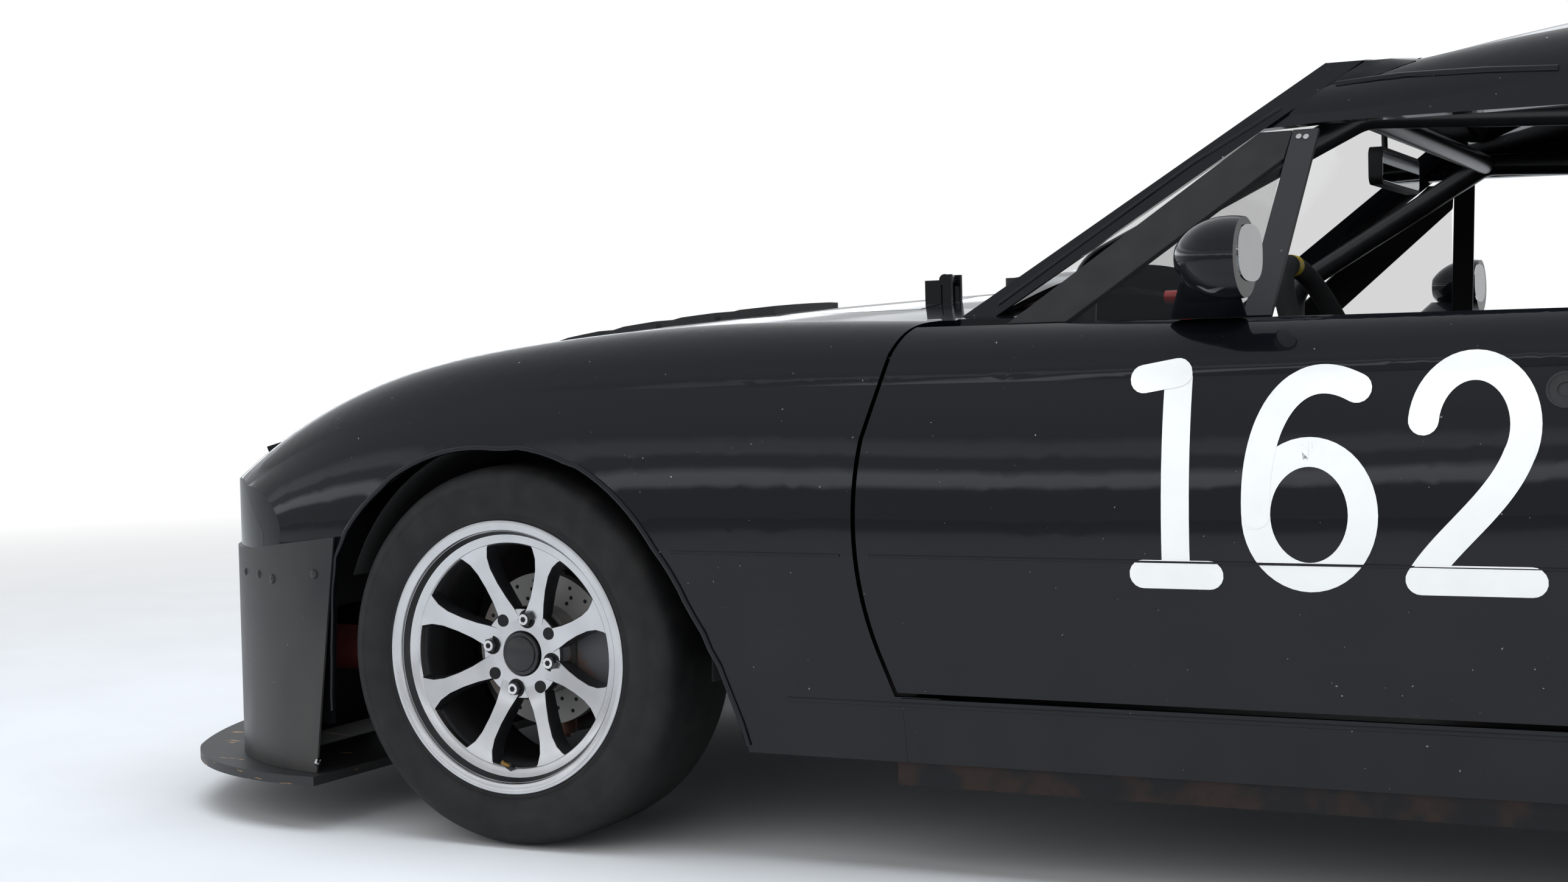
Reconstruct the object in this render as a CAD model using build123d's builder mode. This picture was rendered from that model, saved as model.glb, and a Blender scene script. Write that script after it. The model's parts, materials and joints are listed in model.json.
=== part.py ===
from build123d import *
from collections import namedtuple
from math import cos, hypot, radians, sin
import os

os.makedirs("parts", exist_ok=True)

# Millimetres. +X is forward, +Y is the car's left, +Z is up, and the ground is Z = 0.
# The origin lies on the ground, halfway between the splitter's tip and the tail.

# Overall sizes
WHEELBASE = 2265.0
FRONT_REACH = 888.0
REAR_OVERHANG = 897.0
OVERALL_LENGTH = FRONT_REACH + WHEELBASE + REAR_OVERHANG
FRONT_X = OVERALL_LENGTH / 2 - FRONT_REACH
REAR_X = FRONT_X - WHEELBASE
SKIN = 10.0
PANEL_GAP = 6.0
SEAT_GAP = 0.3
HALF_SPAN = 1000.0

# Heights of the lines that run along the body
FOOT_Z = 165.0
SILL_Z = 257.0
CREASE_Z = 455.0
BELT_Z = 768.0

# Wheels and tyres
TYRE_R = 290.0
TYRE_W = 216.0
BEAD_R = 190.0
RIM_R = 207.0
RIM_W = 208.0
FRONT_WHEEL_Y = 718.0
REAR_WHEEL_Y = 724.0
AXLE_Z = TYRE_R

# Brakes and hubs
DISC_R = 118.0
DISC_T = 18.0
DISC_IN = 28.0
HUB_R = 68.0
LUG_PCD = 100.0
SPARE_PCD = 114.3
LUG_HOLE_R = 6.5

# Door
HINGE_X = FRONT_X - 705.0
HINGE_Y = 775.0
HINGE_PIN_R = 6.0
PIN_PLAY = 0.06
DOOR_IN_Y = 722.0
DOOR_LENGTH = 970.0
DOOR_TAIL_X = HINGE_X - DOOR_LENGTH

# Cabin
FLOOR_Z = 130.0
FLOOR_T = 16.0
FIREWALL_X = FRONT_X - 600.0
BULKHEAD_X = REAR_X + 255.0
TUB_Y = 660.0
CAGE_R = 20.0


def fx(distance):
    """A place along the car, counted forward from the front axle."""
    return FRONT_X + distance


def rx(distance):
    """A place along the car, counted forward from the rear axle."""
    return REAR_X + distance


# Cross-sections of the body: half widths and heights of the lines that run along it
Section = namedtuple(
    "Section", "x foot sill crease side_y side_z shoulder_y shoulder_z crown_z"
)
SECTIONS = [
    Section(fx(800), 600, 625, 640, 600, 480, 540, 500, 515),
    Section(fx(560), 735, 750, 765, 730, 540, 635, 592, 640),
    Section(fx(300), 785, 795, 804, 775, 640, 665, 704, 736),
    Section(fx(0), 795, 806, 828, 795, 685, 690, 760, 790),
    Section(fx(-350), 793, 808, 832, 803, 690, 705, 783, 820),
    Section(fx(-720), 791, 807, 834, 805, 690, 725, 776, 838),
    Section(fx(-1300), 790, 808, 836, 810, 695, 752, 770, 830),
    Section(rx(350), 790, 808, 835, 810, 700, 745, 778, 822),
    Section(rx(0), 788, 804, 832, 800, 700, 700, 783, 812),
    Section(rx(-430), 755, 772, 800, 762, 690, 650, 766, 795),
    Section(rx(-740), 690, 705, 735, 690, 655, 590, 722, 748),
    Section(rx(-915), 600, 620, 640, 600, 600, 500, 655, 672),
]
SILL_SWELL = 3.0
CREASE_SWELL = 10.0
SHOULDER_SWELL = 0.19


def body_form(inset, foot_z=FOOT_Z):
    """The whole body as one closed form, drawn in by inset all round."""
    with BuildPart() as form:
        for row in SECTIONS:
            with BuildSketch(Plane.YZ.offset(row.x)):
                side = (row.side_y - inset, row.side_z - 0.4 * inset)
                shoulder = (row.shoulder_y - 0.4 * inset, row.shoulder_z - inset)
                reach = hypot(side[0] - shoulder[0], side[1] - shoulder[1])
                with BuildLine():
                    ThreePointArc(shoulder, (0, row.crown_z - inset), (-shoulder[0], shoulder[1]))
                    for hand in (1, -1):
                        foot = (hand * (row.foot - inset), foot_z)
                        sill = (hand * (row.sill - inset), SILL_Z)
                        crease = (hand * (row.crease - inset), CREASE_Z)
                        flank = (hand * side[0], side[1])
                        top = (hand * shoulder[0], shoulder[1])
                        Line((0, foot_z), foot)
                        Line(foot, sill)
                        SagittaArc(sill, crease, hand * -SILL_SWELL)
                        SagittaArc(crease, flank, hand * -CREASE_SWELL)
                        SagittaArc(flank, top, hand * -SHOULDER_SWELL * reach)
                make_face()
        loft()
    return form.part


OUTER = body_form(0.0)
INNER = body_form(SKIN, FOOT_Z - 60.0)


def save(part, name):
    """Name one finished piece and write its file."""
    part.label = name
    export_step(part, f"parts/{name}.step")


def side_prism(points, y_low, y_high):
    """A block across the car from a side view outline of (x, z) points."""
    with BuildPart() as block:
        with BuildSketch(Plane.XZ.offset(-y_high)):
            with BuildLine():
                Polyline(*points, close=True)
            make_face()
        extrude(amount=y_high - y_low)
    return block.part


def plan_prism(points, z_low, z_high):
    """An upright block from a plan outline of (x, y) points."""
    with BuildPart() as block:
        with BuildSketch(Plane.XY.offset(z_low)):
            with BuildLine():
                Polyline(*points, close=True)
            make_face()
        extrude(amount=z_high - z_low)
    return block.part


def box_between(low, high):
    """A box from its lowest to its highest corner."""
    with BuildPart() as block:
        with Locations(tuple((a + b) / 2 for a, b in zip(low, high))):
            Box(*[b - a for a, b in zip(low, high)])
    return block.part


def rod(start, end, radius):
    """A round bar from start to end."""
    start, end = Vector(*start), Vector(*end)
    with BuildPart() as bar:
        with BuildSketch(Plane(origin=start, z_dir=end - start)):
            Circle(radius)
        extrude(amount=(end - start).length)
    return bar.part


def other_hand(left_part):
    """The right-hand twin of a left piece."""
    with BuildPart() as twin:
        mirror(left_part, about=Plane.XZ)
    return twin.part


def keep_largest(part):
    """The largest solid of a cut piece, without offcuts."""
    with BuildPart() as kept:
        add(part.solids().sort_by(SortBy.VOLUME)[-1])
    return kept.part


# Plan outline of the nose, as half widths: the sheet air dam follows it
NOSE_PLAN = [(fx(782), 0), (fx(748), 330), (fx(676), 600), (fx(540), 742), (fx(300), 806)]
TAIL_PLAN = [(rx(-897), 0), (rx(-872), 350), (rx(-800), 560), (rx(-640), 710)]
DAM_T = 4.0
DAM_FOOT_Z = 90.0
DAM_TOP_Z = 452.0
SPLITTER_Z = 75.0


def plan_ends(drawn_in):
    """An upright block whose plan is the car's rounded nose and tail."""
    with BuildPart() as ends:
        with BuildSketch():
            with BuildLine():
                for hand in (1, -1):
                    nose = [(x - drawn_in, hand * (y - drawn_in if y else 0)) for x, y in NOSE_PLAN]
                    tail = [(x + drawn_in, hand * (y - drawn_in if y else 0)) for x, y in TAIL_PLAN]
                    ThreePointArc(nose[0], nose[1], nose[2])
                    ThreePointArc(nose[2], nose[3], nose[4])
                    Line(nose[4], (fx(200), hand * HALF_SPAN))
                    Line((fx(200), hand * HALF_SPAN), (rx(-200), hand * HALF_SPAN))
                    Line((rx(-200), hand * HALF_SPAN), tail[3])
                    Line(tail[3], tail[2])
                    ThreePointArc(tail[2], tail[1], tail[0])
            make_face()
        extrude(amount=1100)
    return ends.part


with BuildPart() as hull:
    add(OUTER)
    add(plan_ends(0.0), mode=Mode.INTERSECT)

with BuildPart() as core:
    add(INNER)
    add(plan_ends(SKIN), mode=Mode.INTERSECT)

with BuildPart() as shell:
    add(hull.part)
    add(core.part, mode=Mode.SUBTRACT)


def surface_z(x, y):
    """The height of the body's outer face over a place in plan."""
    hits = hull.part.find_intersection_points(Axis((x, y, 0), (0, 0, 1)))
    return max(point.Z for point, normal in hits)


def raised_hull(lift):
    """The body's closed form, lifted."""
    return hull.part.moved(Location((0, 0, lift)))


def top_layer(depth):
    """The body's outer form down to a depth below its upper face."""
    with BuildPart() as layer:
        add(hull.part)
        add(raised_hull(-depth), mode=Mode.SUBTRACT)
    return layer.part


# Plan lines that the bonnet, headlamp lids and boot lid are cut to, as half widths
BONNET_REAR_X = fx(-592)
BONNET_NOSE_X = fx(655)
BONNET_SIDE = [(BONNET_REAR_X, 590), (fx(0), 562), (fx(452), 444)]
LAMP_REAR_X = fx(470)
LAMP_NOSE_X = fx(640)
LAMP_IN_Y = 456.0
LAMP_OUT_Y = 668.0
LAMP_REAR_GAP = 11.0
LAMP_OUT_GAP = 9.0
BONNET_T = 16.0
BOOT_FRONT_X = rx(-70)
BOOT_TAIL_X = rx(-845)
BOOT_HALF = 545.0
BOOT_TAIL_HALF = 470.0
BOOT_T = 20.0


def bonnet_outline(grow):
    """An upright block over the bonnet, grown by the shut gap where asked."""
    with BuildPart() as block:
        with BuildSketch():
            with BuildLine():
                for hand in (1, -1):
                    rear, middle, front = [(x, hand * (y + grow)) for x, y in BONNET_SIDE]
                    rear = (rear[0] - grow, rear[1])
                    corner = (BONNET_NOSE_X - 22 + grow, front[1])
                    Line((rear[0], 0), rear)
                    ThreePointArc(rear, middle, front)
                    Line(front, corner)
                    ThreePointArc(corner, (BONNET_NOSE_X - 6 + grow, hand * 240),
                                  (BONNET_NOSE_X + grow, 0))
            make_face()
        extrude(amount=1100)
    return block.part


def boot_outline(grow):
    """An upright block over the boot lid, grown by the shut gap where asked."""
    front, tail = BOOT_FRONT_X + grow, BOOT_TAIL_X - grow
    half, tail_half = BOOT_HALF + grow, BOOT_TAIL_HALF + grow
    return plan_prism([(front, half), (front, -half), (rx(-560), -half), (tail, -tail_half),
                       (tail, tail_half), (rx(-560), half)], 500.0, 1100.0)


def cowl_outline(grow):
    """An upright block over the cowl, between the bonnet and the screen."""
    front = BONNET_REAR_X - PANEL_GAP + grow
    step, rear = fx(-704) + grow, fx(-850) - grow
    near, far = 604.0 + grow, 712.0 + grow
    return plan_prism([(front, near), (step, near), (step, far), (rear, far), (rear, -far),
                       (step, -far), (step, -near), (front, -near)], 500.0, 1100.0)


def lamp_outline(grow):
    """Upright blocks over the two headlamp lids, grown by the shut gap where asked."""
    with BuildPart() as block:
        for hand in (1, -1):
            with BuildSketch():
                with BuildLine():
                    inner = hand * (LAMP_IN_Y - grow)
                    outer = hand * (LAMP_OUT_Y + (LAMP_OUT_GAP if grow else 0))
                    rear = LAMP_REAR_X - (LAMP_REAR_GAP if grow else 0)
                    Polyline((rear, inner), (LAMP_NOSE_X + grow, inner),
                             (LAMP_NOSE_X - 44 + grow, outer), (rear, outer), close=True)
                make_face()
        extrude(amount=1100)
    return block.part


# The door's leading edge is turned about its hinge: heights, and how far forward of the front
# axle and how far out the shut line runs
ShutPoint = namedtuple("ShutPoint", "z x y")
DOOR_SHUT = [ShutPoint(SILL_Z + 1, fx(-641), 805), ShutPoint(320, fx(-620), 817),
             ShutPoint(465, fx(-593), 832), ShutPoint(615, fx(-601), 820),
             ShutPoint(733, fx(-635), 785), ShutPoint(800, fx(-690), 745)]
HINGE_HEIGHTS = [330.0, 610.0]
SILL_JOIN_X = fx(-646)


def hinge_turned(grow):
    """The body of revolution that the door's leading edge sweeps about its hinge."""
    with BuildPart() as swept:
        with BuildSketch(Plane(origin=(HINGE_X, HINGE_Y, 0), x_dir=(1, 0, 0), z_dir=(0, -1, 0))):
            with BuildLine():
                edge = [(hypot(p.x - HINGE_X, p.y - HINGE_Y) + grow, p.z) for p in DOOR_SHUT]
                Line((0, edge[0][1]), edge[0])
                Line(edge[0], edge[1])
                ThreePointArc(edge[1], edge[2], edge[3])
                Line(edge[3], edge[4])
                Line(edge[4], edge[5])
                Line(edge[5], (0, edge[5][1]))
                Line((0, edge[5][1]), (0, edge[0][1]))
            make_face()
        revolve(axis=Axis((HINGE_X, HINGE_Y, 0), (0, 0, 1)))
    return swept.part


# Wheel arches, seen from the side
ARCH_TOP_Z = 603.0
REAR_ARCH_R = 338.0
REAR_ARCH_Z = 262.0


def front_arch():
    """The block that opens the front wheel arch."""
    with BuildPart() as block:
        with BuildSketch(Plane.XZ.offset(-HALF_SPAN)):
            with BuildLine():
                front, crown = (fx(326), 430), (fx(12), ARCH_TOP_Z)
                rear, heel = (fx(-278), 448), (fx(-397), 179)
                ThreePointArc(front, (fx(204), 559), crown)
                ThreePointArc(crown, (fx(-146), 572), rear)
                ThreePointArc(rear, (fx(-345), 330), heel)
                Polyline(heel, (fx(-412), 40), (fx(372), 40), front)
            make_face()
        extrude(amount=2 * HALF_SPAN)
    return block.part


def rear_arch():
    """The block that opens the rear wheel arch."""
    with BuildPart() as block:
        with BuildSketch(Plane.XZ.offset(-HALF_SPAN)):
            with BuildLine():
                front, rear = (rx(REAR_ARCH_R), REAR_ARCH_Z), (rx(-REAR_ARCH_R), REAR_ARCH_Z)
                ThreePointArc(front, (REAR_X, REAR_ARCH_Z + REAR_ARCH_R), rear)
                Polyline(rear, (rx(-REAR_ARCH_R - 40), 40), (rx(REAR_ARCH_R + 40), 40), front)
            make_face()
        extrude(amount=2 * HALF_SPAN)
    return block.part


FRONT_ARCH = front_arch()
REAR_ARCH = rear_arch()

# Seams between the wings and the bumpers, and the door's rear shut line, as (x, z)
REAR_SEAM = [(rx(-505), 20), (rx(-505), 560), (rx(-760), 610), (rx(-800), 1000)]
REAR_FOOT_Z = 262.0
DOOR_TAIL = [(DOOR_TAIL_X + 62, SILL_Z), (DOOR_TAIL_X + 12, 400), (DOOR_TAIL_X - 8, 600),
             (DOOR_TAIL_X + 6, 820)]

with BuildPart() as fender_left:
    add(shell.part)
    add(side_prism([(SILL_JOIN_X, 60), (fx(500) - SEAT_GAP, 60), (fx(500) - SEAT_GAP, 470),
                    (fx(590) - SEAT_GAP, 560), (fx(650) - SEAT_GAP, 640), (fx(650), 1100),
                    (HINGE_X + 2, 1100), (HINGE_X + 2, SILL_Z), (SILL_JOIN_X, SILL_Z)], 300.0, HALF_SPAN),
        mode=Mode.INTERSECT)
    add(cowl_outline(SEAT_GAP), mode=Mode.SUBTRACT)
    add(bonnet_outline(PANEL_GAP), mode=Mode.SUBTRACT)
    add(lamp_outline(PANEL_GAP), mode=Mode.SUBTRACT)
    add(FRONT_ARCH, mode=Mode.SUBTRACT)
    add(hinge_turned(PANEL_GAP), mode=Mode.SUBTRACT)
fender = fender_left.part
save(fender, "fender_left")

# Bonnet and boot hinges stand on the panels beside the shut lines
HingePair = namedtuple("HingePair", "x z half_y")
# The bonnet pivots above its crown, so that its rear edge rises clear of the cowl and wipers
BONNET_HINGE = HingePair(BONNET_REAR_X - 8, surface_z(BONNET_REAR_X, 0.0) + 8, 500.0)
BOOT_HINGE = HingePair(BOOT_FRONT_X + 8, surface_z(BOOT_FRONT_X, 240.0) + 12, 240.0)
LID_PIN_R = 5.0
EYE_R = 9.0
EYE_W = 26.0
EAR_W = 7.0


def hinge_eyes(pair, ahead, into):
    """Bored eyes on a lid, one each side; ahead is the side the lid lies on."""
    with BuildPart() as eyes:
        for hand in (1, -1):
            spot = (pair.x, hand * pair.half_y, pair.z)
            with Locations(Location(spot, (90, 0, 0))):
                Cylinder(radius=EYE_R, height=EYE_W)
            with Locations((pair.x + ahead * 19, hand * pair.half_y, pair.z - into / 2)):
                Box(26, EYE_W, into)
        for hand in (1, -1):
            with Locations(Location((pair.x, hand * pair.half_y, pair.z), (90, 0, 0))):
                Cylinder(radius=LID_PIN_R + PIN_PLAY, height=EYE_W + 2, mode=Mode.SUBTRACT)
    return eyes.part


def hinge_ears(pair, ahead, depth):
    """Fixed ears and the pins between them, standing behind the eyes."""
    with BuildPart() as ears:
        for hand in (1, -1):
            with Locations(Location((pair.x, hand * pair.half_y, pair.z), (90, 0, 0))):
                Cylinder(radius=LID_PIN_R, height=EYE_W + 2 * EAR_W + 4)
            for edge in (1, -1):
                place = hand * pair.half_y + edge * (EYE_W / 2 + EAR_W / 2 + 2)
                with Locations((pair.x - ahead * 7, place, pair.z - depth / 2 + 4)):
                    Box(14, EAR_W, depth + 8)
    return ears.part


with BuildPart() as bonnet:
    add(top_layer(BONNET_T))
    add(bonnet_outline(0.0), mode=Mode.INTERSECT)
    add(hinge_eyes(BONNET_HINGE, 1, 46))
save(bonnet.part, "bonnet")

with BuildPart() as boot_lid:
    add(top_layer(BOOT_T))
    add(boot_outline(0.0), mode=Mode.INTERSECT)
    add(hinge_eyes(BOOT_HINGE, -1, 22))
save(boot_lid.part, "boot_lid")


COCKPIT_Y = 690.0

# Door: the whole door as one hollow-free leaf, from the outer skin to its trim
DOOR_FOOT_Z = SILL_Z + 7.0

with BuildPart() as door_leaf:
    add(hinge_turned(0.0))
    add(box_between((DOOR_TAIL_X - 20, DOOR_IN_Y, DOOR_FOOT_Z), (HINGE_X, HALF_SPAN, 1000)))

with BuildPart() as door_left:
    add(hull.part)
    add(side_prism([(HINGE_X - 4, DOOR_FOOT_Z), (fx(-500), DOOR_FOOT_Z), (fx(-500), 1000),
                    (DOOR_TAIL[-1][0], 1000)] + DOOR_TAIL[:0:-1]
                   + [(DOOR_TAIL[0][0], DOOR_FOOT_Z)], DOOR_IN_Y, HALF_SPAN),
        mode=Mode.INTERSECT)
    add(door_leaf.part, mode=Mode.INTERSECT)
    add(box_between((HINGE_X - 2, 600, 0), (HINGE_X + 300, HINGE_Y - 30, 1200)), mode=Mode.SUBTRACT)
    add(box_between((-3000, 0, BELT_Z), (3000, HALF_SPAN, 1200)), mode=Mode.SUBTRACT)
    for height in HINGE_HEIGHTS:
        add(box_between((HINGE_X - 22, 600, height - 26), (HINGE_X + 300, HINGE_Y + 18, height + 26)),
            mode=Mode.SUBTRACT)
        with Locations((HINGE_X - 14, HINGE_Y, height + 8)):
            Box(28, 22, 16)
        with Locations((HINGE_X, HINGE_Y, height + 8)):
            Cylinder(radius=11, height=16)
            Cylinder(radius=HINGE_PIN_R + PIN_PLAY, height=16, mode=Mode.SUBTRACT)
save(keep_largest(door_left.part), "door_left")
save(other_hand(keep_largest(door_left.part)), "door_right")
save(other_hand(fender), "fender_right")

with BuildPart() as quarter_left:
    add(shell.part)
    add(side_prism([(HINGE_X + 400, 60), (HINGE_X + 400, SILL_Z - 1),
                    (DOOR_TAIL[0][0] - PANEL_GAP, SILL_Z - 1)]
                   + [(x - PANEL_GAP, z) for x, z in DOOR_TAIL[1:]]
                   + [(DOOR_TAIL[3][0] - PANEL_GAP, 1100), (rx(-1100), 1100)]
                   + [(x + SEAT_GAP, z + SEAT_GAP) for x, z in REAR_SEAM[::-1]], 300.0, HALF_SPAN),
        mode=Mode.INTERSECT)
    add(boot_outline(PANEL_GAP), mode=Mode.SUBTRACT)
    add(REAR_ARCH, mode=Mode.SUBTRACT)
    add(box_between((rx(-1100), 0, 0), (REAR_X, HALF_SPAN, REAR_FOOT_Z)), mode=Mode.SUBTRACT)
    add(hinge_turned(PANEL_GAP), mode=Mode.SUBTRACT)
    add(box_between((SILL_JOIN_X - SEAT_GAP, 0, 0), (3000, HALF_SPAN, 1200)), mode=Mode.SUBTRACT)
    add(box_between((BULKHEAD_X, 0, 600), (3000, COCKPIT_Y, 1200)), mode=Mode.SUBTRACT)
quarter = keep_largest(quarter_left.part)
save(quarter, "quarter_left")
save(other_hand(quarter), "quarter_right")

# Mouth: the opening that lets air reach the radiator, through the bumper and the dam
MOUTH_HALF = 330.0
MOUTH_Z = 330.0
MOUTH_H = 130.0


def mouth():
    """The rounded block that opens the mouth."""
    with BuildPart() as block:
        with BuildSketch(Plane.YZ.offset(fx(560))):
            with Locations((0, MOUTH_Z)):
                SlotOverall(2 * MOUTH_HALF, MOUTH_H)
        extrude(amount=400)
    return block.part


with BuildPart() as front_bumper:
    add(shell.part)
    add(side_prism([(fx(500) + SEAT_GAP, 250), (fx(500) + SEAT_GAP, 470), (fx(590) + SEAT_GAP, 560),
                    (fx(650) + SEAT_GAP, 640), (fx(650), 900), (fx(900), 900), (fx(900), 250)],
                   -HALF_SPAN, HALF_SPAN), mode=Mode.INTERSECT)
    add(bonnet_outline(PANEL_GAP), mode=Mode.SUBTRACT)
    add(lamp_outline(PANEL_GAP), mode=Mode.SUBTRACT)
    add(mouth(), mode=Mode.SUBTRACT)
save(keep_largest(front_bumper.part), "front_bumper")

# Number plate holes in the rear bumper
PLATE_SPAN = 305.0
PLATE_Z = 420.0
PLATE_HOLE_R = 3.5

with BuildPart() as rear_bumper:
    add(shell.part)
    add(side_prism([(x - SEAT_GAP, z) for x, z in REAR_SEAM] + [(rx(-1100), 20)],
                   -HALF_SPAN, HALF_SPAN), mode=Mode.INTERSECT)
    add(boot_outline(PANEL_GAP), mode=Mode.SUBTRACT)
    add(REAR_ARCH, mode=Mode.SUBTRACT)
    add(box_between((rx(-1100), -HALF_SPAN, 0), (REAR_X, HALF_SPAN, REAR_FOOT_Z)), mode=Mode.SUBTRACT)
    for hand in (1, -1):
        plate_hole = (rx(-950), hand * PLATE_SPAN / 2, PLATE_Z)
        add(rod(plate_hole, (plate_hole[0] + 150, plate_hole[1], PLATE_Z), PLATE_HOLE_R), mode=Mode.SUBTRACT)
save(keep_largest(rear_bumper.part), "rear_bumper")

with BuildPart() as air_dam:
    add(plan_ends(-DAM_T))
    add(plan_ends(0.0), mode=Mode.SUBTRACT)
    add(side_prism([(fx(371), DAM_FOOT_Z), (fx(322), DAM_TOP_Z + 14), (fx(560), DAM_TOP_Z - 14),
                    (fx(900), DAM_TOP_Z - 14),
                    (fx(900), DAM_FOOT_Z)], -HALF_SPAN, HALF_SPAN), mode=Mode.INTERSECT)

with BuildPart() as dam_cut:
    add(air_dam.part)
    add(mouth(), mode=Mode.SUBTRACT)
save(keep_largest(dam_cut.part), "air_dam")

# Splitter: half outline from the tip to its rear edge
SPLITTER_PLAN = [(fx(888), 0), (fx(861), 383), (fx(745), 650), (fx(535), 809), (fx(354), 837)]
with BuildPart() as splitter:
    with BuildSketch(Plane.XY.offset(SPLITTER_Z)):
        with BuildLine():
            for hand in (1, -1):
                tip, bow, corner, cheek, heel = [(x, hand * y) for x, y in SPLITTER_PLAN]
                ThreePointArc(tip, bow, corner)
                ThreePointArc(corner, cheek, heel)
                Line(heel, (heel[0], 0))
        make_face()
    extrude(amount=DAM_FOOT_Z - SPLITTER_Z - SEAT_GAP)
save(splitter.part, "splitter")

# Windscreen: it leans back between two levels, its corners and its middle bowed forward
ScreenLevel = namedtuple("ScreenLevel", "z corner_x corner_y middle_x")
SCREEN = [ScreenLevel(770, fx(-682), 696, fx(-566)), ScreenLevel(1170, fx(-1267), 537, fx(-1180))]
FRAME_DEPTH = 52.0
GLASS_FRONT = 18.0
GLASS_BACK = 26.0
HEADER_CORNER = (552.0, 1114.0)
HEADER_TOP_Z = 1152.0


def screen_band(front, back):
    """The bowed slab of the windscreen, from front to back behind its outer face."""
    with BuildPart() as band:
        for level in SCREEN:
            with BuildSketch(Plane.XY.offset(level.z)):
                with BuildLine():
                    ends = []
                    for shift in (front, back):
                        ends.append([(level.corner_x - shift, level.corner_y),
                                     (level.middle_x - shift, 0),
                                     (level.corner_x - shift, -level.corner_y)])
                        ThreePointArc(*ends[-1])
                    Line(ends[0][0], ends[1][0])
                    Line(ends[0][2], ends[1][2])
                make_face()
        loft()
    return band.part


def front_prism(half, top_middle, bottom_middle):
    """A block along the car from a front view: half holds the (y, z) foot and top corners."""
    foot, top = half
    with BuildPart() as block:
        with BuildSketch(Plane.YZ.offset(fx(-1400))):
            with BuildLine():
                Line(foot, top)
                ThreePointArc(top, (0, top_middle), (-top[0], top[1]))
                Line((-top[0], top[1]), (-foot[0], foot[1]))
                ThreePointArc((-foot[0], foot[1]), (0, bottom_middle), foot)
            make_face()
        extrude(amount=1000)
    return block.part


COWL_OPEN_Y = 636.0
with BuildPart() as cowl:
    add(shell.part)
    add(cowl_outline(0.0), mode=Mode.INTERSECT)
    add(box_between((fx(-3000), -COWL_OPEN_Y, 600), (fx(-722), COWL_OPEN_Y, 1200)), mode=Mode.SUBTRACT)

OPENING = [(648.0, 796.0), (512.0, 1082.0)]
with BuildPart() as windscreen_frame:
    add(screen_band(0.0, FRAME_DEPTH))
    add(front_prism([(760.0, 700.0), HEADER_CORNER], HEADER_TOP_Z, 690.0), mode=Mode.INTERSECT)
    add(front_prism(OPENING, 1120.0, 872.0), mode=Mode.SUBTRACT)
    add(cowl.part)
    add(hinge_ears(BONNET_HINGE, 1, 50))
    for hand in (1, -1):
        for cut in (hinge_turned(PANEL_GAP), fender, fender.moved(Location((0, 0, SEAT_GAP)))):
            add(cut if hand > 0 else other_hand(cut), mode=Mode.SUBTRACT)
save(keep_largest(windscreen_frame.part), "windscreen_frame")

with BuildPart() as front_glass:
    add(screen_band(GLASS_FRONT, GLASS_BACK))
    add(front_prism([(OPENING[0][0] - SEAT_GAP, OPENING[0][1] + SEAT_GAP),
                     (OPENING[1][0] - SEAT_GAP, OPENING[1][1] - SEAT_GAP)], 1120.0 - SEAT_GAP,
                    872.0 + SEAT_GAP), mode=Mode.INTERSECT)
save(front_glass.part, "windscreen_glass")

# Hard top: cross-sections of its outer form
Roof = namedtuple("Roof", "x foot_y rail_y rail_z shoulder_y shoulder_z crown_z")
ROOF_FOOT_Z = 755.0
ROOF_T = 28.0
ROOF = [
    Roof(fx(-1080), 748, 570, 1052, 520, 1088, 1120),
    Roof(fx(-1450), 752, 606, 1062, 535, 1132, 1190),
    Roof(rx(420), 752, 612, 1045, 530, 1118, 1172),
    Roof(rx(180), 742, 640, 950, 560, 1010, 1040),
    Roof(rx(-32), 722, 690, 803, 612, 820, 832),
]


def roof_form(inset, foot_z):
    """The hard top as one closed form, drawn in by inset."""
    with BuildPart() as form:
        for row in ROOF:
            with BuildSketch(Plane.YZ.offset(row.x)):
                with BuildLine():
                    rail = (row.rail_y - inset, row.rail_z - 0.3 * inset)
                    shoulder = (row.shoulder_y - 0.5 * inset, row.shoulder_z - inset)
                    Line((row.foot_y - inset, foot_z), (inset - row.foot_y, foot_z))
                    ThreePointArc(shoulder, (0, row.crown_z - inset), (-shoulder[0], shoulder[1]))
                    for hand in (1, -1):
                        Line((hand * (row.foot_y - inset), foot_z), (hand * rail[0], rail[1]))
                        SagittaArc((hand * rail[0], rail[1]), (hand * shoulder[0], shoulder[1]),
                                   hand * -12.0)
                make_face()
        loft()
    return form.part


ROOF_OUTER = roof_form(0.0, ROOF_FOOT_Z)
ROOF_INNER = roof_form(ROOF_T, ROOF_FOOT_Z - 40)
ROOF_CLEAR = FRAME_DEPTH + SEAT_GAP
REAR_GLASS_PLAN = [(rx(360), 470), (rx(-10), 540), (rx(-10), -540), (rx(360), -470)]


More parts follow.
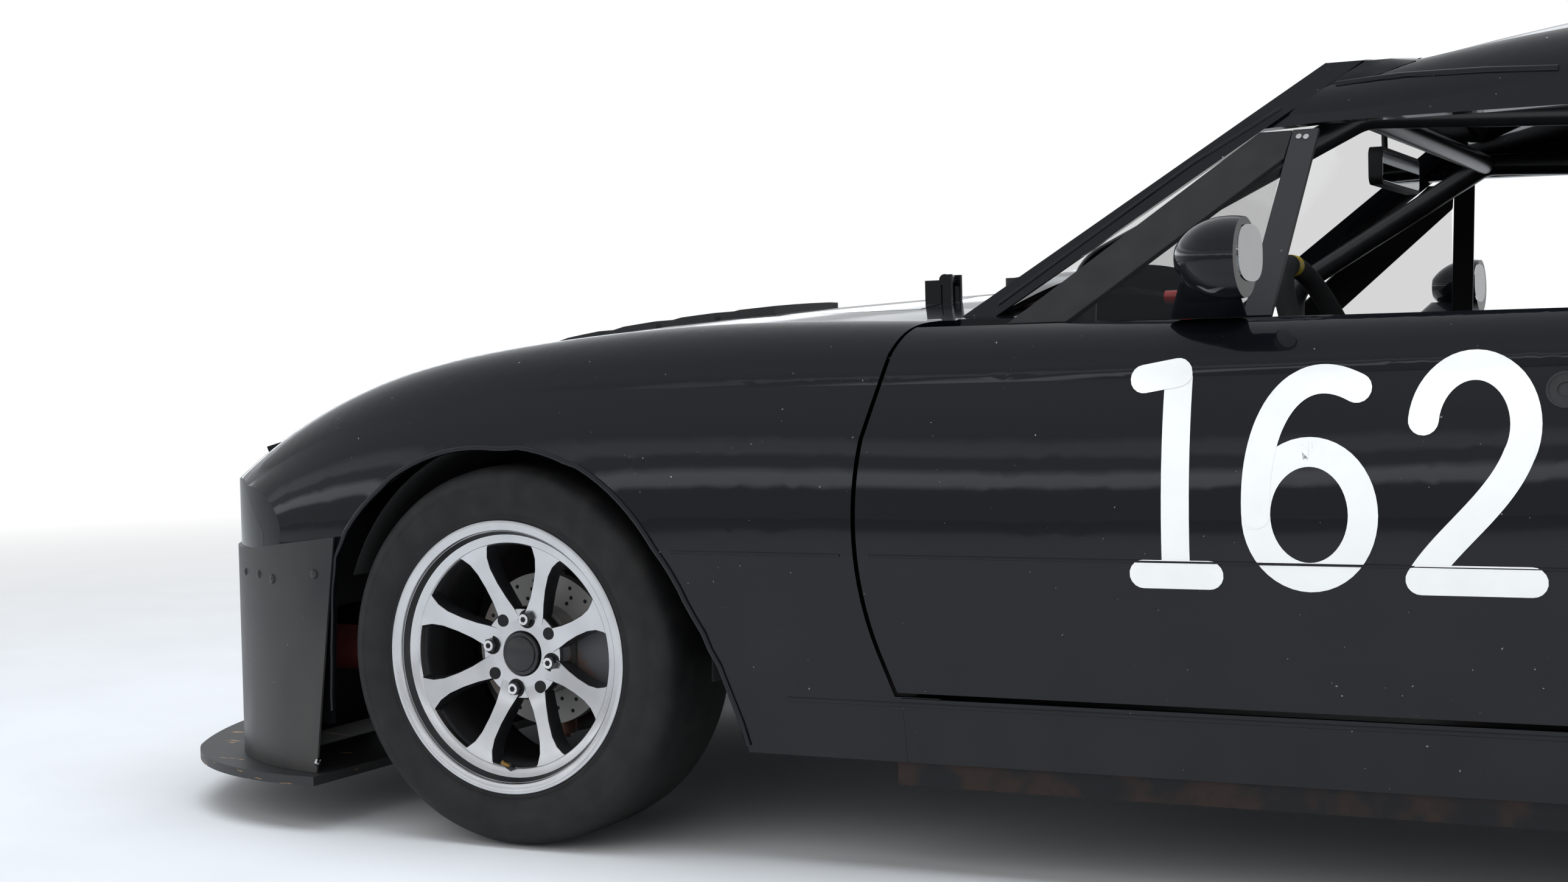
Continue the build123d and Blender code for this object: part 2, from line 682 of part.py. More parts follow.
def in_front_of_screen():
    """Everything ahead of the windscreen frame's rear face."""
    with BuildPart() as block:
        for level in SCREEN:
            with BuildSketch(Plane.XY.offset(level.z - (30 if level.z < 900 else -60))):
                with BuildLine():
                    slope = (SCREEN[1].corner_x - SCREEN[0].corner_x) / (SCREEN[1].z - SCREEN[0].z)
                    spread = (SCREEN[1].corner_y - SCREEN[0].corner_y) / (SCREEN[1].z - SCREEN[0].z)
                    middle_slope = (SCREEN[1].middle_x - SCREEN[0].middle_x) / (SCREEN[1].z - SCREEN[0].z)
                    lift = 30 if level.z < 900 else -60
                    corner_x = level.corner_x - ROOF_CLEAR - slope * lift
                    corner_y = level.corner_y - spread * lift
                    middle_x = level.middle_x - ROOF_CLEAR - middle_slope * lift
                    side_x = corner_x - 0.3 * (middle_x - corner_x)
                    ThreePointArc((corner_x, corner_y), (middle_x, 0), (corner_x, -corner_y))
                    Polyline((corner_x, -corner_y), (side_x, -900), (fx(0), -900), (fx(0), 900),
                             (side_x, 900), (corner_x, corner_y))
                make_face()
        loft()
    return block.part


with BuildPart() as hard_top:
    add(ROOF_OUTER)
    add(ROOF_INNER, mode=Mode.SUBTRACT)
    add(raised_hull(SEAT_GAP), mode=Mode.SUBTRACT)
    add(in_front_of_screen(), mode=Mode.SUBTRACT)
    add(side_prism([(fx(-900), 700), (fx(-900), 1020), (fx(-1200), 1030), (rx(440), 1026), (rx(330), 960),
                    (rx(262), 700)], -HALF_SPAN, HALF_SPAN), mode=Mode.SUBTRACT)
    add(plan_prism(REAR_GLASS_PLAN, 700.0, 1400.0), mode=Mode.SUBTRACT)
save(keep_largest(hard_top.part), "hard_top")

# Headlamp pods: each lid turns up about a line just under its rear edge
LampHinge = namedtuple("LampHinge", "y z")
LAMP_AXIS = [LampHinge(y, surface_z(LAMP_REAR_X, y) - 6) for y in (LAMP_IN_Y, LAMP_OUT_Y)]
LAMP_NORMAL = (0, LAMP_AXIS[0].z - LAMP_AXIS[1].z, LAMP_OUT_Y - LAMP_IN_Y)
LAMP_PIN_R = 3.0
POD_R = 126.0
LENS_R = 54.0
TUB_TOP_Z = 700.0

# Running gear
RAIL_Y = (330.0, 400.0)
RAIL_Z = (230.0, 330.0)
KINGPIN_Y = 655.0
KINGPIN_R = 8.0
UPPER_JOINT_Z = 418.0
LOWER_JOINT_Z = 162.0
SPINDLE_R = 20.0
RIM_BACK = 25.0

# Tub walls: their thickness, and how far out the well walls, inner wings and deck stand
WALL = 12.0
WELL_Y = 392.0
WING_Y = 400.0
DECK_Y = 300.0
TUNNEL_Y = 130.0

with BuildPart() as deck:
    add(shell.part)
    add(box_between((BOOT_FRONT_X + PANEL_GAP, SEAT_GAP - DECK_Y, 600),
                    (BULKHEAD_X + WALL, DECK_Y - SEAT_GAP, 1200)),
        mode=Mode.INTERSECT)

DECK_UNDER_Z = surface_z(BULKHEAD_X, DECK_Y - 10) - SKIN / 2

# Sheet walls and boxes of the tub: lowest and highest corner, on the centre line
CENTRE_WALLS = [
    ((rx(330), -TUB_Y, FLOOR_Z), (FIREWALL_X, TUB_Y, FLOOR_Z + FLOOR_T)),
    ((BULKHEAD_X, -560, FLOOR_Z), (rx(331), 560, FLOOR_Z + FLOOR_T)),
    ((BULKHEAD_X, -TUNNEL_Y, 140), (FIREWALL_X, TUNNEL_Y, 302)),
    ((FIREWALL_X - WALL, -622, FLOOR_Z), (FIREWALL_X, 622, 760)),
    ((BULKHEAD_X, -WELL_Y, FLOOR_Z + 10), (BULKHEAD_X + WALL, WELL_Y, 740)),
    ((BULKHEAD_X, SEAT_GAP - DECK_Y, 720), (BULKHEAD_X + WALL, DECK_Y - SEAT_GAP, DECK_UNDER_Z)),
    ((rx(-838), -400, 360), (BULKHEAD_X + 6, 400, 372)),
    ((rx(-700), -556, 360), (rx(-330), 556, 372)),
    ((fx(585), -RAIL_Y[1], 203), (fx(615), RAIL_Y[1], 231)),
    ((rx(-834), -400, 365), (rx(-810), 400, 515)),
]
# The same for the left side, mirrored to the right
SIDE_WALLS = [
    ((rx(345), 659.7, FLOOR_Z), (SILL_JOIN_X + 20, 779.7, 246)),
    ((HINGE_X - 50, 600, FLOOR_Z), (FIREWALL_X, 622, 760)),
    ((fx(-480), 520, 200), (fx(-468), 720, 690)),
    ((fx(-610), 562, 200), (fx(-468), 590, 690)),
    ((DOOR_TAIL_X - 60, 640, FLOOR_Z), (DOOR_TAIL_X - 22, 784, 690)),
    ((rx(330), 614, FLOOR_Z), (DOOR_TAIL_X - 22, 626, 690)),
    ((DOOR_TAIL_X - 34, 614, FLOOR_Z), (DOOR_TAIL_X - 22, 650, 690)),
    ((rx(-700), 556, 360), (rx(-330), 568, 690)),
    ((rx(-340), WELL_Y - WALL, 310), (rx(342), WELL_Y, 690)),
    ((rx(330), WELL_Y - WALL, FLOOR_Z), (rx(342), 626, 690)),
    ((rx(-342), WELL_Y - WALL, 310), (rx(-330), 568, 690)),
    ((rx(-85), WELL_Y - WALL, 604), (rx(85), 568, 616)),
    ((rx(-834), 350, 280), (BULKHEAD_X + WALL, WELL_Y, 366)),
    ((FIREWALL_X - WALL, RAIL_Y[0], RAIL_Z[0]), (fx(615), RAIL_Y[1], RAIL_Z[1])),
    ((FIREWALL_X - WALL, WING_Y, RAIL_Z[1] - 20), (fx(520), WING_Y + 10, 600)),
    ((FIREWALL_X - WALL, WING_Y, 598), (fx(120), WING_Y + 10, TUB_TOP_Z)),
    ((fx(-95), WING_Y, 604), (fx(95), 590, 690)),
    ((LAMP_REAR_X - 9, RAIL_Y[1] - 5, RAIL_Z[1] - 8), (LAMP_REAR_X + 7, LAMP_IN_Y - 3.5, RAIL_Z[1])),
    ((LAMP_REAR_X - 9, LAMP_IN_Y - 6.5, RAIL_Z[1] - 8),
     (LAMP_REAR_X + 7, LAMP_IN_Y - 3.5, LAMP_AXIS[0].z + 2)),
]
SIDE_WALLS += [((HINGE_X - 11, 610, height - 20), (HINGE_X + 11, 784, height - 6))
               for height in HINGE_HEIGHTS]


def lamp_axis_rod(start, end, radius):
    """A left rod along a headlamp's axis; start and end are counted out from its inner end."""
    ends = []
    for out in (start, end):
        lift = out * (LAMP_AXIS[1].z - LAMP_AXIS[0].z) / (LAMP_OUT_Y - LAMP_IN_Y)
        ends.append((LAMP_REAR_X, LAMP_IN_Y + out, LAMP_AXIS[0].z + lift))
    return rod(ends[0], ends[1], radius)


with BuildPart() as body_tub:
    for low, high in CENTRE_WALLS:
        add(box_between(low, high))
    for low, high in SIDE_WALLS:
        for hand in (1, -1):
            near, far = sorted((hand * low[1], hand * high[1]))
            add(box_between((low[0], near, low[2]), (high[0], far, high[2])))
    for hand in (1, -1):
        for height in HINGE_HEIGHTS:
            with Locations((HINGE_X, hand * HINGE_Y, height - 1)):
                Cylinder(radius=HINGE_PIN_R, height=38)
        lamp_pin = lamp_axis_rod(-6.0, 18.0, LAMP_PIN_R)
        add(lamp_pin if hand > 0 else other_hand(lamp_pin))
    add(deck.part)
    add(hinge_ears(BOOT_HINGE, -1, 34))
    add(box_between((BULKHEAD_X - 1, 12 - TUNNEL_Y, 60), (FIREWALL_X + 1, TUNNEL_Y - 12, 290)),
        mode=Mode.SUBTRACT)
    add(rod((REAR_X, -450, AXLE_Z), (REAR_X, 450, AXLE_Z), 24), mode=Mode.SUBTRACT)
save(body_tub.part, "body_tub")


# Wheels, drawn about their own centre with the outer face towards +Y
def tyre():
    """A slick tyre as one ring."""
    with BuildPart() as ring:
        with BuildSketch(Plane.XY):
            with BuildLine():
                half = TYRE_W / 2
                bead = RIM_W / 2 - 7
                for hand in (1, -1):
                    Line((BEAD_R + SEAT_GAP, 0), (BEAD_R + SEAT_GAP, hand * bead))
                    Line((BEAD_R + SEAT_GAP, hand * bead), (RIM_R + 1, hand * bead))
                    ThreePointArc((RIM_R + 1, hand * bead), (TYRE_R - 48, hand * half),
                                  (TYRE_R - 12, hand * (half - 10)))
                    ThreePointArc((TYRE_R - 12, hand * (half - 10)), (TYRE_R - 4, hand * (half - 16)),
                                  (TYRE_R - 1.5, hand * (half - 26)))
                ThreePointArc((TYRE_R - 1.5, half - 26), (TYRE_R, 0), (TYRE_R - 1.5, 26 - half))
            make_face()
        revolve(axis=Axis.Y)
    return ring.part


SPOKES = 8


def rim():
    """An eight-spoke rim with its nuts."""
    half = RIM_W / 2
    with BuildPart() as wheel:
        with BuildSketch(Plane.XY):
            with BuildLine():
                Polyline((RIM_R - 7, half), (RIM_R, half), (RIM_R, half - 6), (BEAD_R, half - 7),
                         (BEAD_R, half - 34), (174, half - 44), (174, 44 - half), (BEAD_R, 34 - half),
                         (BEAD_R, 7 - half), (RIM_R, 6 - half), (RIM_R, -half), (RIM_R - 7, -half),
                         (BEAD_R - 6, 7 - half), (BEAD_R - 7, 34 - half), (166, 48 - half),
                         (166, half - 48), (BEAD_R - 8, half - 20), (BEAD_R - 6, half - 7), close=True)
            make_face()
        revolve(axis=Axis.Y)
        with BuildSketch(Plane.XZ.offset(-RIM_BACK)):
            Circle(HUB_R)
        extrude(amount=-27)
        for number in range(SPOKES):
            turn = number * 360 / SPOKES + 22.5
            with BuildSketch(Plane(origin=(0, 0, 0), x_dir=(cos(radians(turn)), 0, sin(radians(turn))),
                                   z_dir=(-sin(radians(turn)), 0, cos(radians(turn))))):
                with BuildLine():
                    Polyline((HUB_R - 14, 34), (HUB_R - 14, 52), (170, 84), (170, 48), close=True)
                make_face()
            extrude(amount=13, both=True)
        with BuildSketch(Plane.XZ.offset(-RIM_BACK)):
            with PolarLocations(SPARE_PCD / 2, 4, start_angle=45):
                Circle(LUG_HOLE_R)
            Circle(27)
        extrude(amount=-60, mode=Mode.SUBTRACT)
        with BuildSketch(Plane.XZ.offset(-RIM_BACK - 20)):
            with PolarLocations(LUG_PCD / 2, 4):
                RegularPolygon(10, 6)
            Circle(29)
        extrude(amount=-16)
    return wheel.part


def disc():
    """A brake disc with its hat and hub, bored for the spindle."""
    with BuildPart() as plate:
        with BuildSketch(Plane.XZ.offset(DISC_IN)):
            Circle(DISC_R)
        extrude(amount=-DISC_T)
        with BuildSketch(Plane.XZ.offset(DISC_IN - DISC_T)):
            Circle(HUB_R + 2)
        extrude(amount=-(RIM_BACK + DISC_IN - DISC_T))
        with BuildSketch(Plane.XZ.offset(DISC_IN)):
            Circle(SPINDLE_R + PIN_PLAY)
        extrude(amount=-45, mode=Mode.SUBTRACT)
    return plate.part


Corner = namedtuple("Corner", "name x y hand")
CORNERS = [
    Corner("front_left", FRONT_X, FRONT_WHEEL_Y, 1),
    Corner("front_right", FRONT_X, FRONT_WHEEL_Y, -1),
    Corner("rear_left", REAR_X, REAR_WHEEL_Y, 1),
    Corner("rear_right", REAR_X, REAR_WHEEL_Y, -1),
]
PIECES = {"tyre": tyre(), "rim": rim(), "disc": disc()}
for corner in CORNERS:
    for kind, piece in PIECES.items():
        turned = piece if corner.hand > 0 else other_hand(piece)
        with BuildPart() as placed:
            add(turned.moved(Location((corner.x, corner.hand * corner.y, AXLE_Z))))
        save(placed.part, f"{kind}_{corner.name}")


def caliper(disc_in):
    """A left brake caliper that straddles the disc."""
    with BuildPart() as block:
        add(box_between((-152, disc_in - 34, AXLE_Z - 52), (-78, disc_in + DISC_T + 30, AXLE_Z + 52)))
        with BuildSketch(Plane.XZ.offset(-(disc_in - 5))):
            with Locations((0, AXLE_Z)):
                Circle(DISC_R + 6)
        extrude(amount=-(DISC_T + 10), mode=Mode.SUBTRACT)
        with BuildSketch(Plane.XZ.offset(-(disc_in + DISC_T))):
            with Locations((0, AXLE_Z)):
                Circle(HUB_R + 8)
        extrude(amount=-50, mode=Mode.SUBTRACT)
    return block.part


def upright(wheel_y, steered):
    """A left hub carrier at the origin's X, with its spindle and its brake caliper."""
    disc_in = wheel_y - DISC_IN
    with BuildPart() as carrier:
        add(box_between((-18, KINGPIN_Y - 18, LOWER_JOINT_Z + 16), (18, KINGPIN_Y + 18, UPPER_JOINT_Z - 12)))
        with BuildSketch(Plane.XZ.offset(-KINGPIN_Y)):
            with Locations((0, AXLE_Z)):
                Circle(46)
        extrude(amount=-(disc_in - 5 - KINGPIN_Y))
        with BuildSketch(Plane.XZ.offset(-KINGPIN_Y)):
            with Locations((0, AXLE_Z)):
                Circle(SPINDLE_R)
        extrude(amount=-(disc_in + 40 - KINGPIN_Y))
        add(caliper(disc_in))
        add(box_between((-100, disc_in - 34, AXLE_Z - 22), (0, disc_in - 6, AXLE_Z + 22)))
        if steered:
            with Locations((0, KINGPIN_Y, (LOWER_JOINT_Z + UPPER_JOINT_Z) / 2)):
                Cylinder(radius=KINGPIN_R, height=UPPER_JOINT_Z - LOWER_JOINT_Z + 36)
    return carrier.part


with BuildPart() as knuckle_left:
    add(upright(FRONT_WHEEL_Y, True).moved(Location((FRONT_X, 0, 0))))
save(knuckle_left.part, "knuckle_left")
save(other_hand(knuckle_left.part), "knuckle_right")

Arm = namedtuple("Arm", "z joint_y pivot_y pivot_z spread radius")
ARMS = [Arm(UPPER_JOINT_Z, KINGPIN_Y, 430, 440, 80, 11), Arm(LOWER_JOINT_Z, KINGPIN_Y, 380, 176, 90, 13)]
DAMPER_Y = 560.0


def wishbones(axle_x, steered, damper_x):
    """Left wishbones and damper at one axle; damper_x is how far ahead of it the damper stands."""
    with BuildPart() as links:
        for arm in ARMS:
            joint = (axle_x, arm.joint_y, arm.z)
            for way in (1, -1):
                add(rod(joint, (axle_x + way * arm.spread, arm.pivot_y, arm.pivot_z), arm.radius))
            add(rod((axle_x - arm.spread - 20, arm.pivot_y, arm.pivot_z),
                    (axle_x + arm.spread + 20, arm.pivot_y, arm.pivot_z), 14))
            with Locations(joint):
                Cylinder(radius=19, height=20)
                if steered:
                    Cylinder(radius=KINGPIN_R + PIN_PLAY, height=60, mode=Mode.SUBTRACT)
        foot_x = axle_x + damper_x
        add(rod((axle_x - 34, DAMPER_Y, 167), (foot_x + 34, DAMPER_Y, 167), 12))
        add(rod((foot_x, DAMPER_Y, 167), (foot_x, 520, 420), 22))
        add(rod((foot_x, 520, 420), (foot_x, 500, 598.9), 44))
    return links.part


with BuildPart() as front_suspension:
    links = wishbones(FRONT_X, True, 0.0)
    add(links)
    mirror(links, about=Plane.XZ)
    with Locations((FRONT_X, 0, 180)):
        Box(120, 800, 44)
    for hand in (1, -1):
        with Locations((FRONT_X, hand * 365, 203)):
            Box(110, 60, 53.4)
        with Locations((FRONT_X, hand * 421.15, 430)):
            Box(110, 21.7, 40)
save(front_suspension.part, "front_suspension")

with BuildPart() as rear_corner:
    add(wishbones(REAR_X, False, 42.0))
    add(upright(REAR_WHEEL_Y, False).moved(Location((REAR_X, 0, 0))))
    add(rod((REAR_X, KINGPIN_Y, LOWER_JOINT_Z), (REAR_X, KINGPIN_Y, UPPER_JOINT_Z), 14))

with BuildPart() as rear_suspension:
    add(rear_corner.part)
    mirror(rear_corner.part, about=Plane.XZ)
    with Locations((REAR_X, 0, 180)):
        Box(120, 800, 44)
    for hand in (1, -1):
        with Locations((REAR_X + 45, hand * 371, 228)):
            Box(30, 40, 103.4)
        with Locations((REAR_X, hand * 412, 440)):
            Box(110, 39.4, 30)
save(rear_suspension.part, "rear_suspension")

# Headlamp pods: a lid with the lamp's body hanging under it
def lamp_swing():
    """What the left lid may fill and still swing clear of the panel ahead of it."""
    plane = Plane(origin=(LAMP_REAR_X, LAMP_IN_Y, LAMP_AXIS[0].z), x_dir=(1, 0, 0), z_dir=LAMP_NORMAL)
    along = (Vector(LAMP_REAR_X, LAMP_OUT_Y, LAMP_AXIS[1].z) - plane.origin).length
    reach = []
    for y, nose, axis in ((LAMP_IN_Y, LAMP_NOSE_X, LAMP_AXIS[0]),
                          (LAMP_OUT_Y, LAMP_NOSE_X - 44, LAMP_AXIS[1])):
        reach.append(hypot(nose - LAMP_REAR_X, surface_z(nose, y) - axis.z) + 0.6)
    with BuildPart() as swing:
        with BuildSketch(plane):
            with BuildLine():
                Polyline((0, -30), (reach[0], -30), (reach[0], 0), (reach[1], along), (reach[1], along + 30),
                         (0, along + 30), close=True)
            make_face()
        revolve(axis=Axis(plane.origin, Vector(LAMP_REAR_X, LAMP_OUT_Y, LAMP_AXIS[1].z) - plane.origin))
    return swing.part


with BuildPart() as headlamp_left:
    add(top_layer(BONNET_T))
    add(lamp_outline(0.0), mode=Mode.INTERSECT)
    add(box_between((0, 0, 0), (3000, HALF_SPAN, 1100)), mode=Mode.INTERSECT)
    add(lamp_swing(), mode=Mode.INTERSECT)
    pod_z = LAMP_AXIS[1].z - 2
    with BuildSketch(Plane.XZ.offset(-(LAMP_IN_Y + 14))):
        with BuildLine():
            reach = [(LAMP_REAR_X + POD_R * cos(radians(a)), pod_z + POD_R * sin(radians(a)))
                     for a in (-14, -35, -85)]
            Polyline((LAMP_REAR_X, pod_z), *reach, close=True)
        make_face()
    extrude(amount=-(LAMP_OUT_Y - LAMP_IN_Y - 44))
    lens_y = (LAMP_IN_Y + 14 + LAMP_OUT_Y - 30) / 2
    lens_far = POD_R * cos(radians(25))
    with BuildSketch(Plane(origin=(LAMP_REAR_X + lens_far * cos(radians(-60)), lens_y,
                                   pod_z + lens_far * sin(radians(-60))),
                           z_dir=(cos(radians(-60)), 0, sin(radians(-60))))):
        Circle(LENS_R)
    extrude(amount=8)
    add(lamp_axis_rod(-8.0, LAMP_OUT_Y - LAMP_IN_Y + 8, LAMP_PIN_R + PIN_PLAY), mode=Mode.SUBTRACT)
save(keep_largest(headlamp_left.part), "headlamp_left")
save(other_hand(keep_largest(headlamp_left.part)), "headlamp_right")

# Glass behind the cabin
with BuildPart() as rear_window:
    add(roof_form(6.0, ROOF_FOOT_Z - 40))
    add(roof_form(11.0, ROOF_FOOT_Z - 60), mode=Mode.SUBTRACT)
    add(plan_prism([(x + (-1 if x > rx(100) else 1) * SEAT_GAP, y - SEAT_GAP * (1 if y > 0 else -1))
                    for x, y in REAR_GLASS_PLAN], 700.0, 1400.0), mode=Mode.INTERSECT)
    add(raised_hull(SEAT_GAP), mode=Mode.SUBTRACT)
save(keep_largest(rear_window.part), "rear_window")


# Quarter pane on each door, with the flat strap that holds its rear edge
DOOR_TOP_Z = BELT_Z + SEAT_GAP
PANE_T = 4.0
STRAP_T = 7.0
PANE_CORNERS = [(fx(-838), 727, DOOR_TOP_Z), (fx(-1119), 740, DOOR_TOP_Z), (fx(-1139), 604, 1004)]
PANE = [(fx(-838), 740), (fx(-1119), 740), (fx(-1144), 1004), (fx(-1139), 1004)]
STRAP = [(fx(-1112), 740), (fx(-1150), 740), (fx(-1184), 1018), (fx(-1148), 1018)]


def pane_plate(outline, thickness):
    """A plate in the left pane's plane, from a side view outline of (x, z) points."""
    front, rear, top = [Vector(*corner) for corner in PANE_CORNERS]
    plane = Plane(origin=front, x_dir=rear - front, z_dir=(top - front).cross(rear - front))
    lean_x = -plane.z_dir.X / plane.z_dir.Y
    lean_z = -plane.z_dir.Z / plane.z_dir.Y
    corners = []
    for x, z in outline:
        y = front.Y + lean_x * (x - front.X) + lean_z * (z - front.Z)
        corners.append(plane.to_local_coords(Vector(x, y, z)))
    with BuildPart() as sheet:
        with BuildSketch(plane):
            with BuildLine():
                Polyline(*[(corner.X, corner.Y) for corner in corners], close=True)
            make_face()
        extrude(amount=thickness, both=True)
    return sheet.part


with BuildPart() as door_pane_left:
    add(pane_plate(PANE, PANE_T / 2))
    add(pane_plate(STRAP, STRAP_T / 2))
    add(box_between((-HALF_SPAN, 0, DOOR_TOP_Z), (HALF_SPAN, HALF_SPAN, 1200)), mode=Mode.INTERSECT)
save(door_pane_left.part, "door_pane_left")
save(other_hand(door_pane_left.part), "door_pane_right")


# Cage of bent tube
def tube(points, bend, radius=CAGE_R):
    """A tube along straight runs joined by equal bends."""
    with BuildPart() as pipe:
        with BuildLine() as path:
            if len(points) > 2:
                FilletPolyline(*points, radius=bend)
            else:
                Line(*points)
        with BuildSketch(Plane(origin=points[0], z_dir=Vector(*points[1]) - Vector(*points[0]))):
            Circle(radius)
        sweep(path=path.wires()[0])
    return pipe.part


HOOP_X = BULKHEAD_X + 113
SIDE_TUBE_R = 19.0
BAR_R = 17.0
HOOP_Y = 588.0
HOOP_TOP_Y = 480.0
HOOP_TOP_Z = 1014.0
LEG_Y = 604.0
HEADER_BAR = (fx(-1222), 490.0, 1046.0)
CAGE_FOOT_Z = FLOOR_Z + FLOOR_T
with BuildPart() as roll_cage:
    add(tube([(HOOP_X, HOOP_Y, CAGE_FOOT_Z), (HOOP_X, HOOP_Y, 880), (HOOP_X, HOOP_TOP_Y, HOOP_TOP_Z),
              (HOOP_X, -HOOP_TOP_Y, HOOP_TOP_Z), (HOOP_X, -HOOP_Y, 880), (HOOP_X, -HOOP_Y, CAGE_FOOT_Z)], 90))
    add(tube([HEADER_BAR, (HEADER_BAR[0], -HEADER_BAR[1], HEADER_BAR[2])], 0, BAR_R))
    for hand in (1, -1):
        add(tube([(HOOP_X, hand * HOOP_TOP_Y, HOOP_TOP_Z),
                  (HEADER_BAR[0], hand * HEADER_BAR[1], HEADER_BAR[2]),
                  (fx(-852), hand * LEG_Y, 845), (fx(-810), hand * LEG_Y, CAGE_FOOT_Z + 2)], 60, SIDE_TUBE_R))
        add(tube([(HOOP_X, hand * HOOP_Y, 560), (fx(-820), hand * LEG_Y, 330)], 0, BAR_R))
        add(tube([(HOOP_X, hand * HOOP_Y, 300), (fx(-830), hand * LEG_Y, 560)], 0, BAR_R))
    add(tube([(HOOP_X, HOOP_Y, 740), (HOOP_X, -HOOP_Y, 740)], 0, BAR_R))
save(roll_cage.part, "roll_cage")

# Cabin fittings
DRIVER_Y = 370.0
COLUMN_LEAN = 22.0
COLUMN_R = 24.0
WHEEL_HUB = (fx(-1147), DRIVER_Y, 700.0)
GRIP_R = 160.0
COLUMN_DIR = (cos(radians(COLUMN_LEAN)), 0, -sin(radians(COLUMN_LEAN)))


def column_end(distance):
    """A place along the steering column, counted from the wheel's hub."""
    return Vector(*WHEEL_HUB) + Vector(*COLUMN_DIR) * distance


with BuildPart() as dashboard:
    with BuildSketch(Plane.XZ.offset(-570)):
        with BuildLine():
            Polyline((fx(-640), 700), (fx(-640), 755), (fx(-760), 778), (fx(-900), 762), (fx(-915), 700),
                     (fx(-860), 590), (fx(-820), 560), (fx(-800), 640), close=True)
        make_face()
    extrude(amount=1140)
    add(box_between((fx(-650), -250, 702), (FIREWALL_X - WALL - SEAT_GAP, 250, 752)))
    add(rod(column_end(68), column_end(400), COLUMN_R + SEAT_GAP), mode=Mode.SUBTRACT)
save(dashboard.part, "dashboard")

with BuildPart() as steering_wheel:
    with BuildSketch(Plane(origin=WHEEL_HUB, x_dir=(0, 1, 0), z_dir=COLUMN_DIR)):
        Circle(34)
        for turn in (0, 180, 270):
            with Locations(Location((0, 0, 0), (0, 0, turn))):
                with Locations((GRIP_R / 2, 0)):
                    Rectangle(GRIP_R, 34)
    extrude(amount=5)
    with BuildSketch(Plane(origin=WHEEL_HUB, x_dir=(0, 1, 0), z_dir=COLUMN_DIR)):
        Circle(30)
    extrude(amount=60)
    with BuildSketch(Plane(origin=WHEEL_HUB, x_dir=(0, 1, 0), z_dir=(COLUMN_DIR[2], 0, -COLUMN_DIR[0]))):
        with Locations((GRIP_R, 0)):
            Circle(15)
    revolve(axis=Axis(WHEEL_HUB, COLUMN_DIR))
    with BuildSketch(Plane(origin=WHEEL_HUB, x_dir=(0, 1, 0), z_dir=COLUMN_DIR)):
        Circle(9 + PIN_PLAY)
    extrude(amount=100, mode=Mode.SUBTRACT)
save(steering_wheel.part, "steering_wheel")

with BuildPart() as steering_column:
    add(rod(column_end(10), column_end(90), 9))
    add(rod(column_end(68), column_end(330), COLUMN_R))
save(steering_column.part, "steering_column")

SEAT_HALF = 172.0
with BuildPart() as driver_seat:
    with BuildSketch(Plane.XZ.offset(-(DRIVER_Y + SEAT_HALF))):
        with BuildLine():
            Polyline((fx(-1330), 200), (fx(-1320), 300), (fx(-1560), 300), (fx(-1660), 330),
                     (fx(-1800), 930), (fx(-1840), 930), (fx(-1760), 470), (fx(-1700), 190), close=True)
        make_face()
    extrude(amount=2 * SEAT_HALF)
    for hand in (1, -1):
        add(side_prism([(fx(-1330), 200), (fx(-1340), 370), (fx(-1540), 400), (fx(-1700), 700),
                        (fx(-1830), 720),
                        (fx(-1740), 200)], DRIVER_Y + hand * SEAT_HALF - 20, DRIVER_Y + hand * SEAT_HALF + 20))
    with Locations((fx(-1530), DRIVER_Y, (200 + CAGE_FOOT_Z) / 2)):
        Box(260, 300, 200 - CAGE_FOOT_Z)
save(driver_seat.part, "driver_seat")

with BuildPart() as interior_mirror:
    add(box_between((fx(-1176), -150, 975), (fx(-1150), 150, 1035)))
    add(rod((fx(-1150), 0, 1030), (fx(-1150), 0, 1098.6), 5))
save(interior_mirror.part, "interior_mirror")

with BuildPart() as engine_block:
    with Locations((fx(-165), 0, 421.3)):
        Box(620, 380, 438)
save(engine_block.part, "engine_block")

with BuildPart() as radiator:
    add(box_between((fx(580), -280, 231.3), (fx(620), 280, 530)))
    add(box_between((fx(570), -300, 520), (fx(630), 300, 558)))
save(radiator.part, "radiator")

with BuildPart() as drivetrain:
    with Locations((fx(-680), 20, 217)):
        Box(409.4, 150, 130)
    add(rod((fx(-880), 0, 230), (rx(130), 0, 250), 34))
    with Locations((rx(20), 0, 262.3)):
        Box(240, 190, 120)
    add(rod((rx(0), 18.3 - KINGPIN_Y, AXLE_Z), (rx(0), KINGPIN_Y - 18.3, AXLE_Z), 13))
save(drivetrain.part, "drivetrain")

with BuildPart() as exhaust:
    add(tube([(fx(-630), -86, 180), (rx(240), -86, 180), (rx(90), -240, 228), (rx(-500), -240, 228)], 90, 20))
    with BuildSketch(Plane.YZ.offset(rx(-480))):
        with Locations((-240, 218)):
            Ellipse(120, 54)
    extrude(amount=-280)
    add(rod((rx(-740), -300, 218), (rx(-884), -300, 218), 30))
    add(rod((rx(-620), -240, 260), (rx(-620), -240, 359.7), 6))
    add(rod((fx(-1200), -90, 180), (fx(-1200), 12.3 - TUNNEL_Y, 180), 6))
save(exhaust.part, "exhaust")

with BuildPart() as tail_lamp_windows:
    with BuildSketch(Plane.YZ.offset(rx(-910))):
        with Locations((540, 560), (-540, 560)):
            SlotOverall(210, 96)
    extrude(amount=200)

with BuildPart() as tail_lamps:
    add(plan_ends(-5.0))
    add(plan_ends(0.0), mode=Mode.SUBTRACT)
    add(tail_lamp_windows.part, mode=Mode.INTERSECT)
save(tail_lamps.part, "tail_lamps")

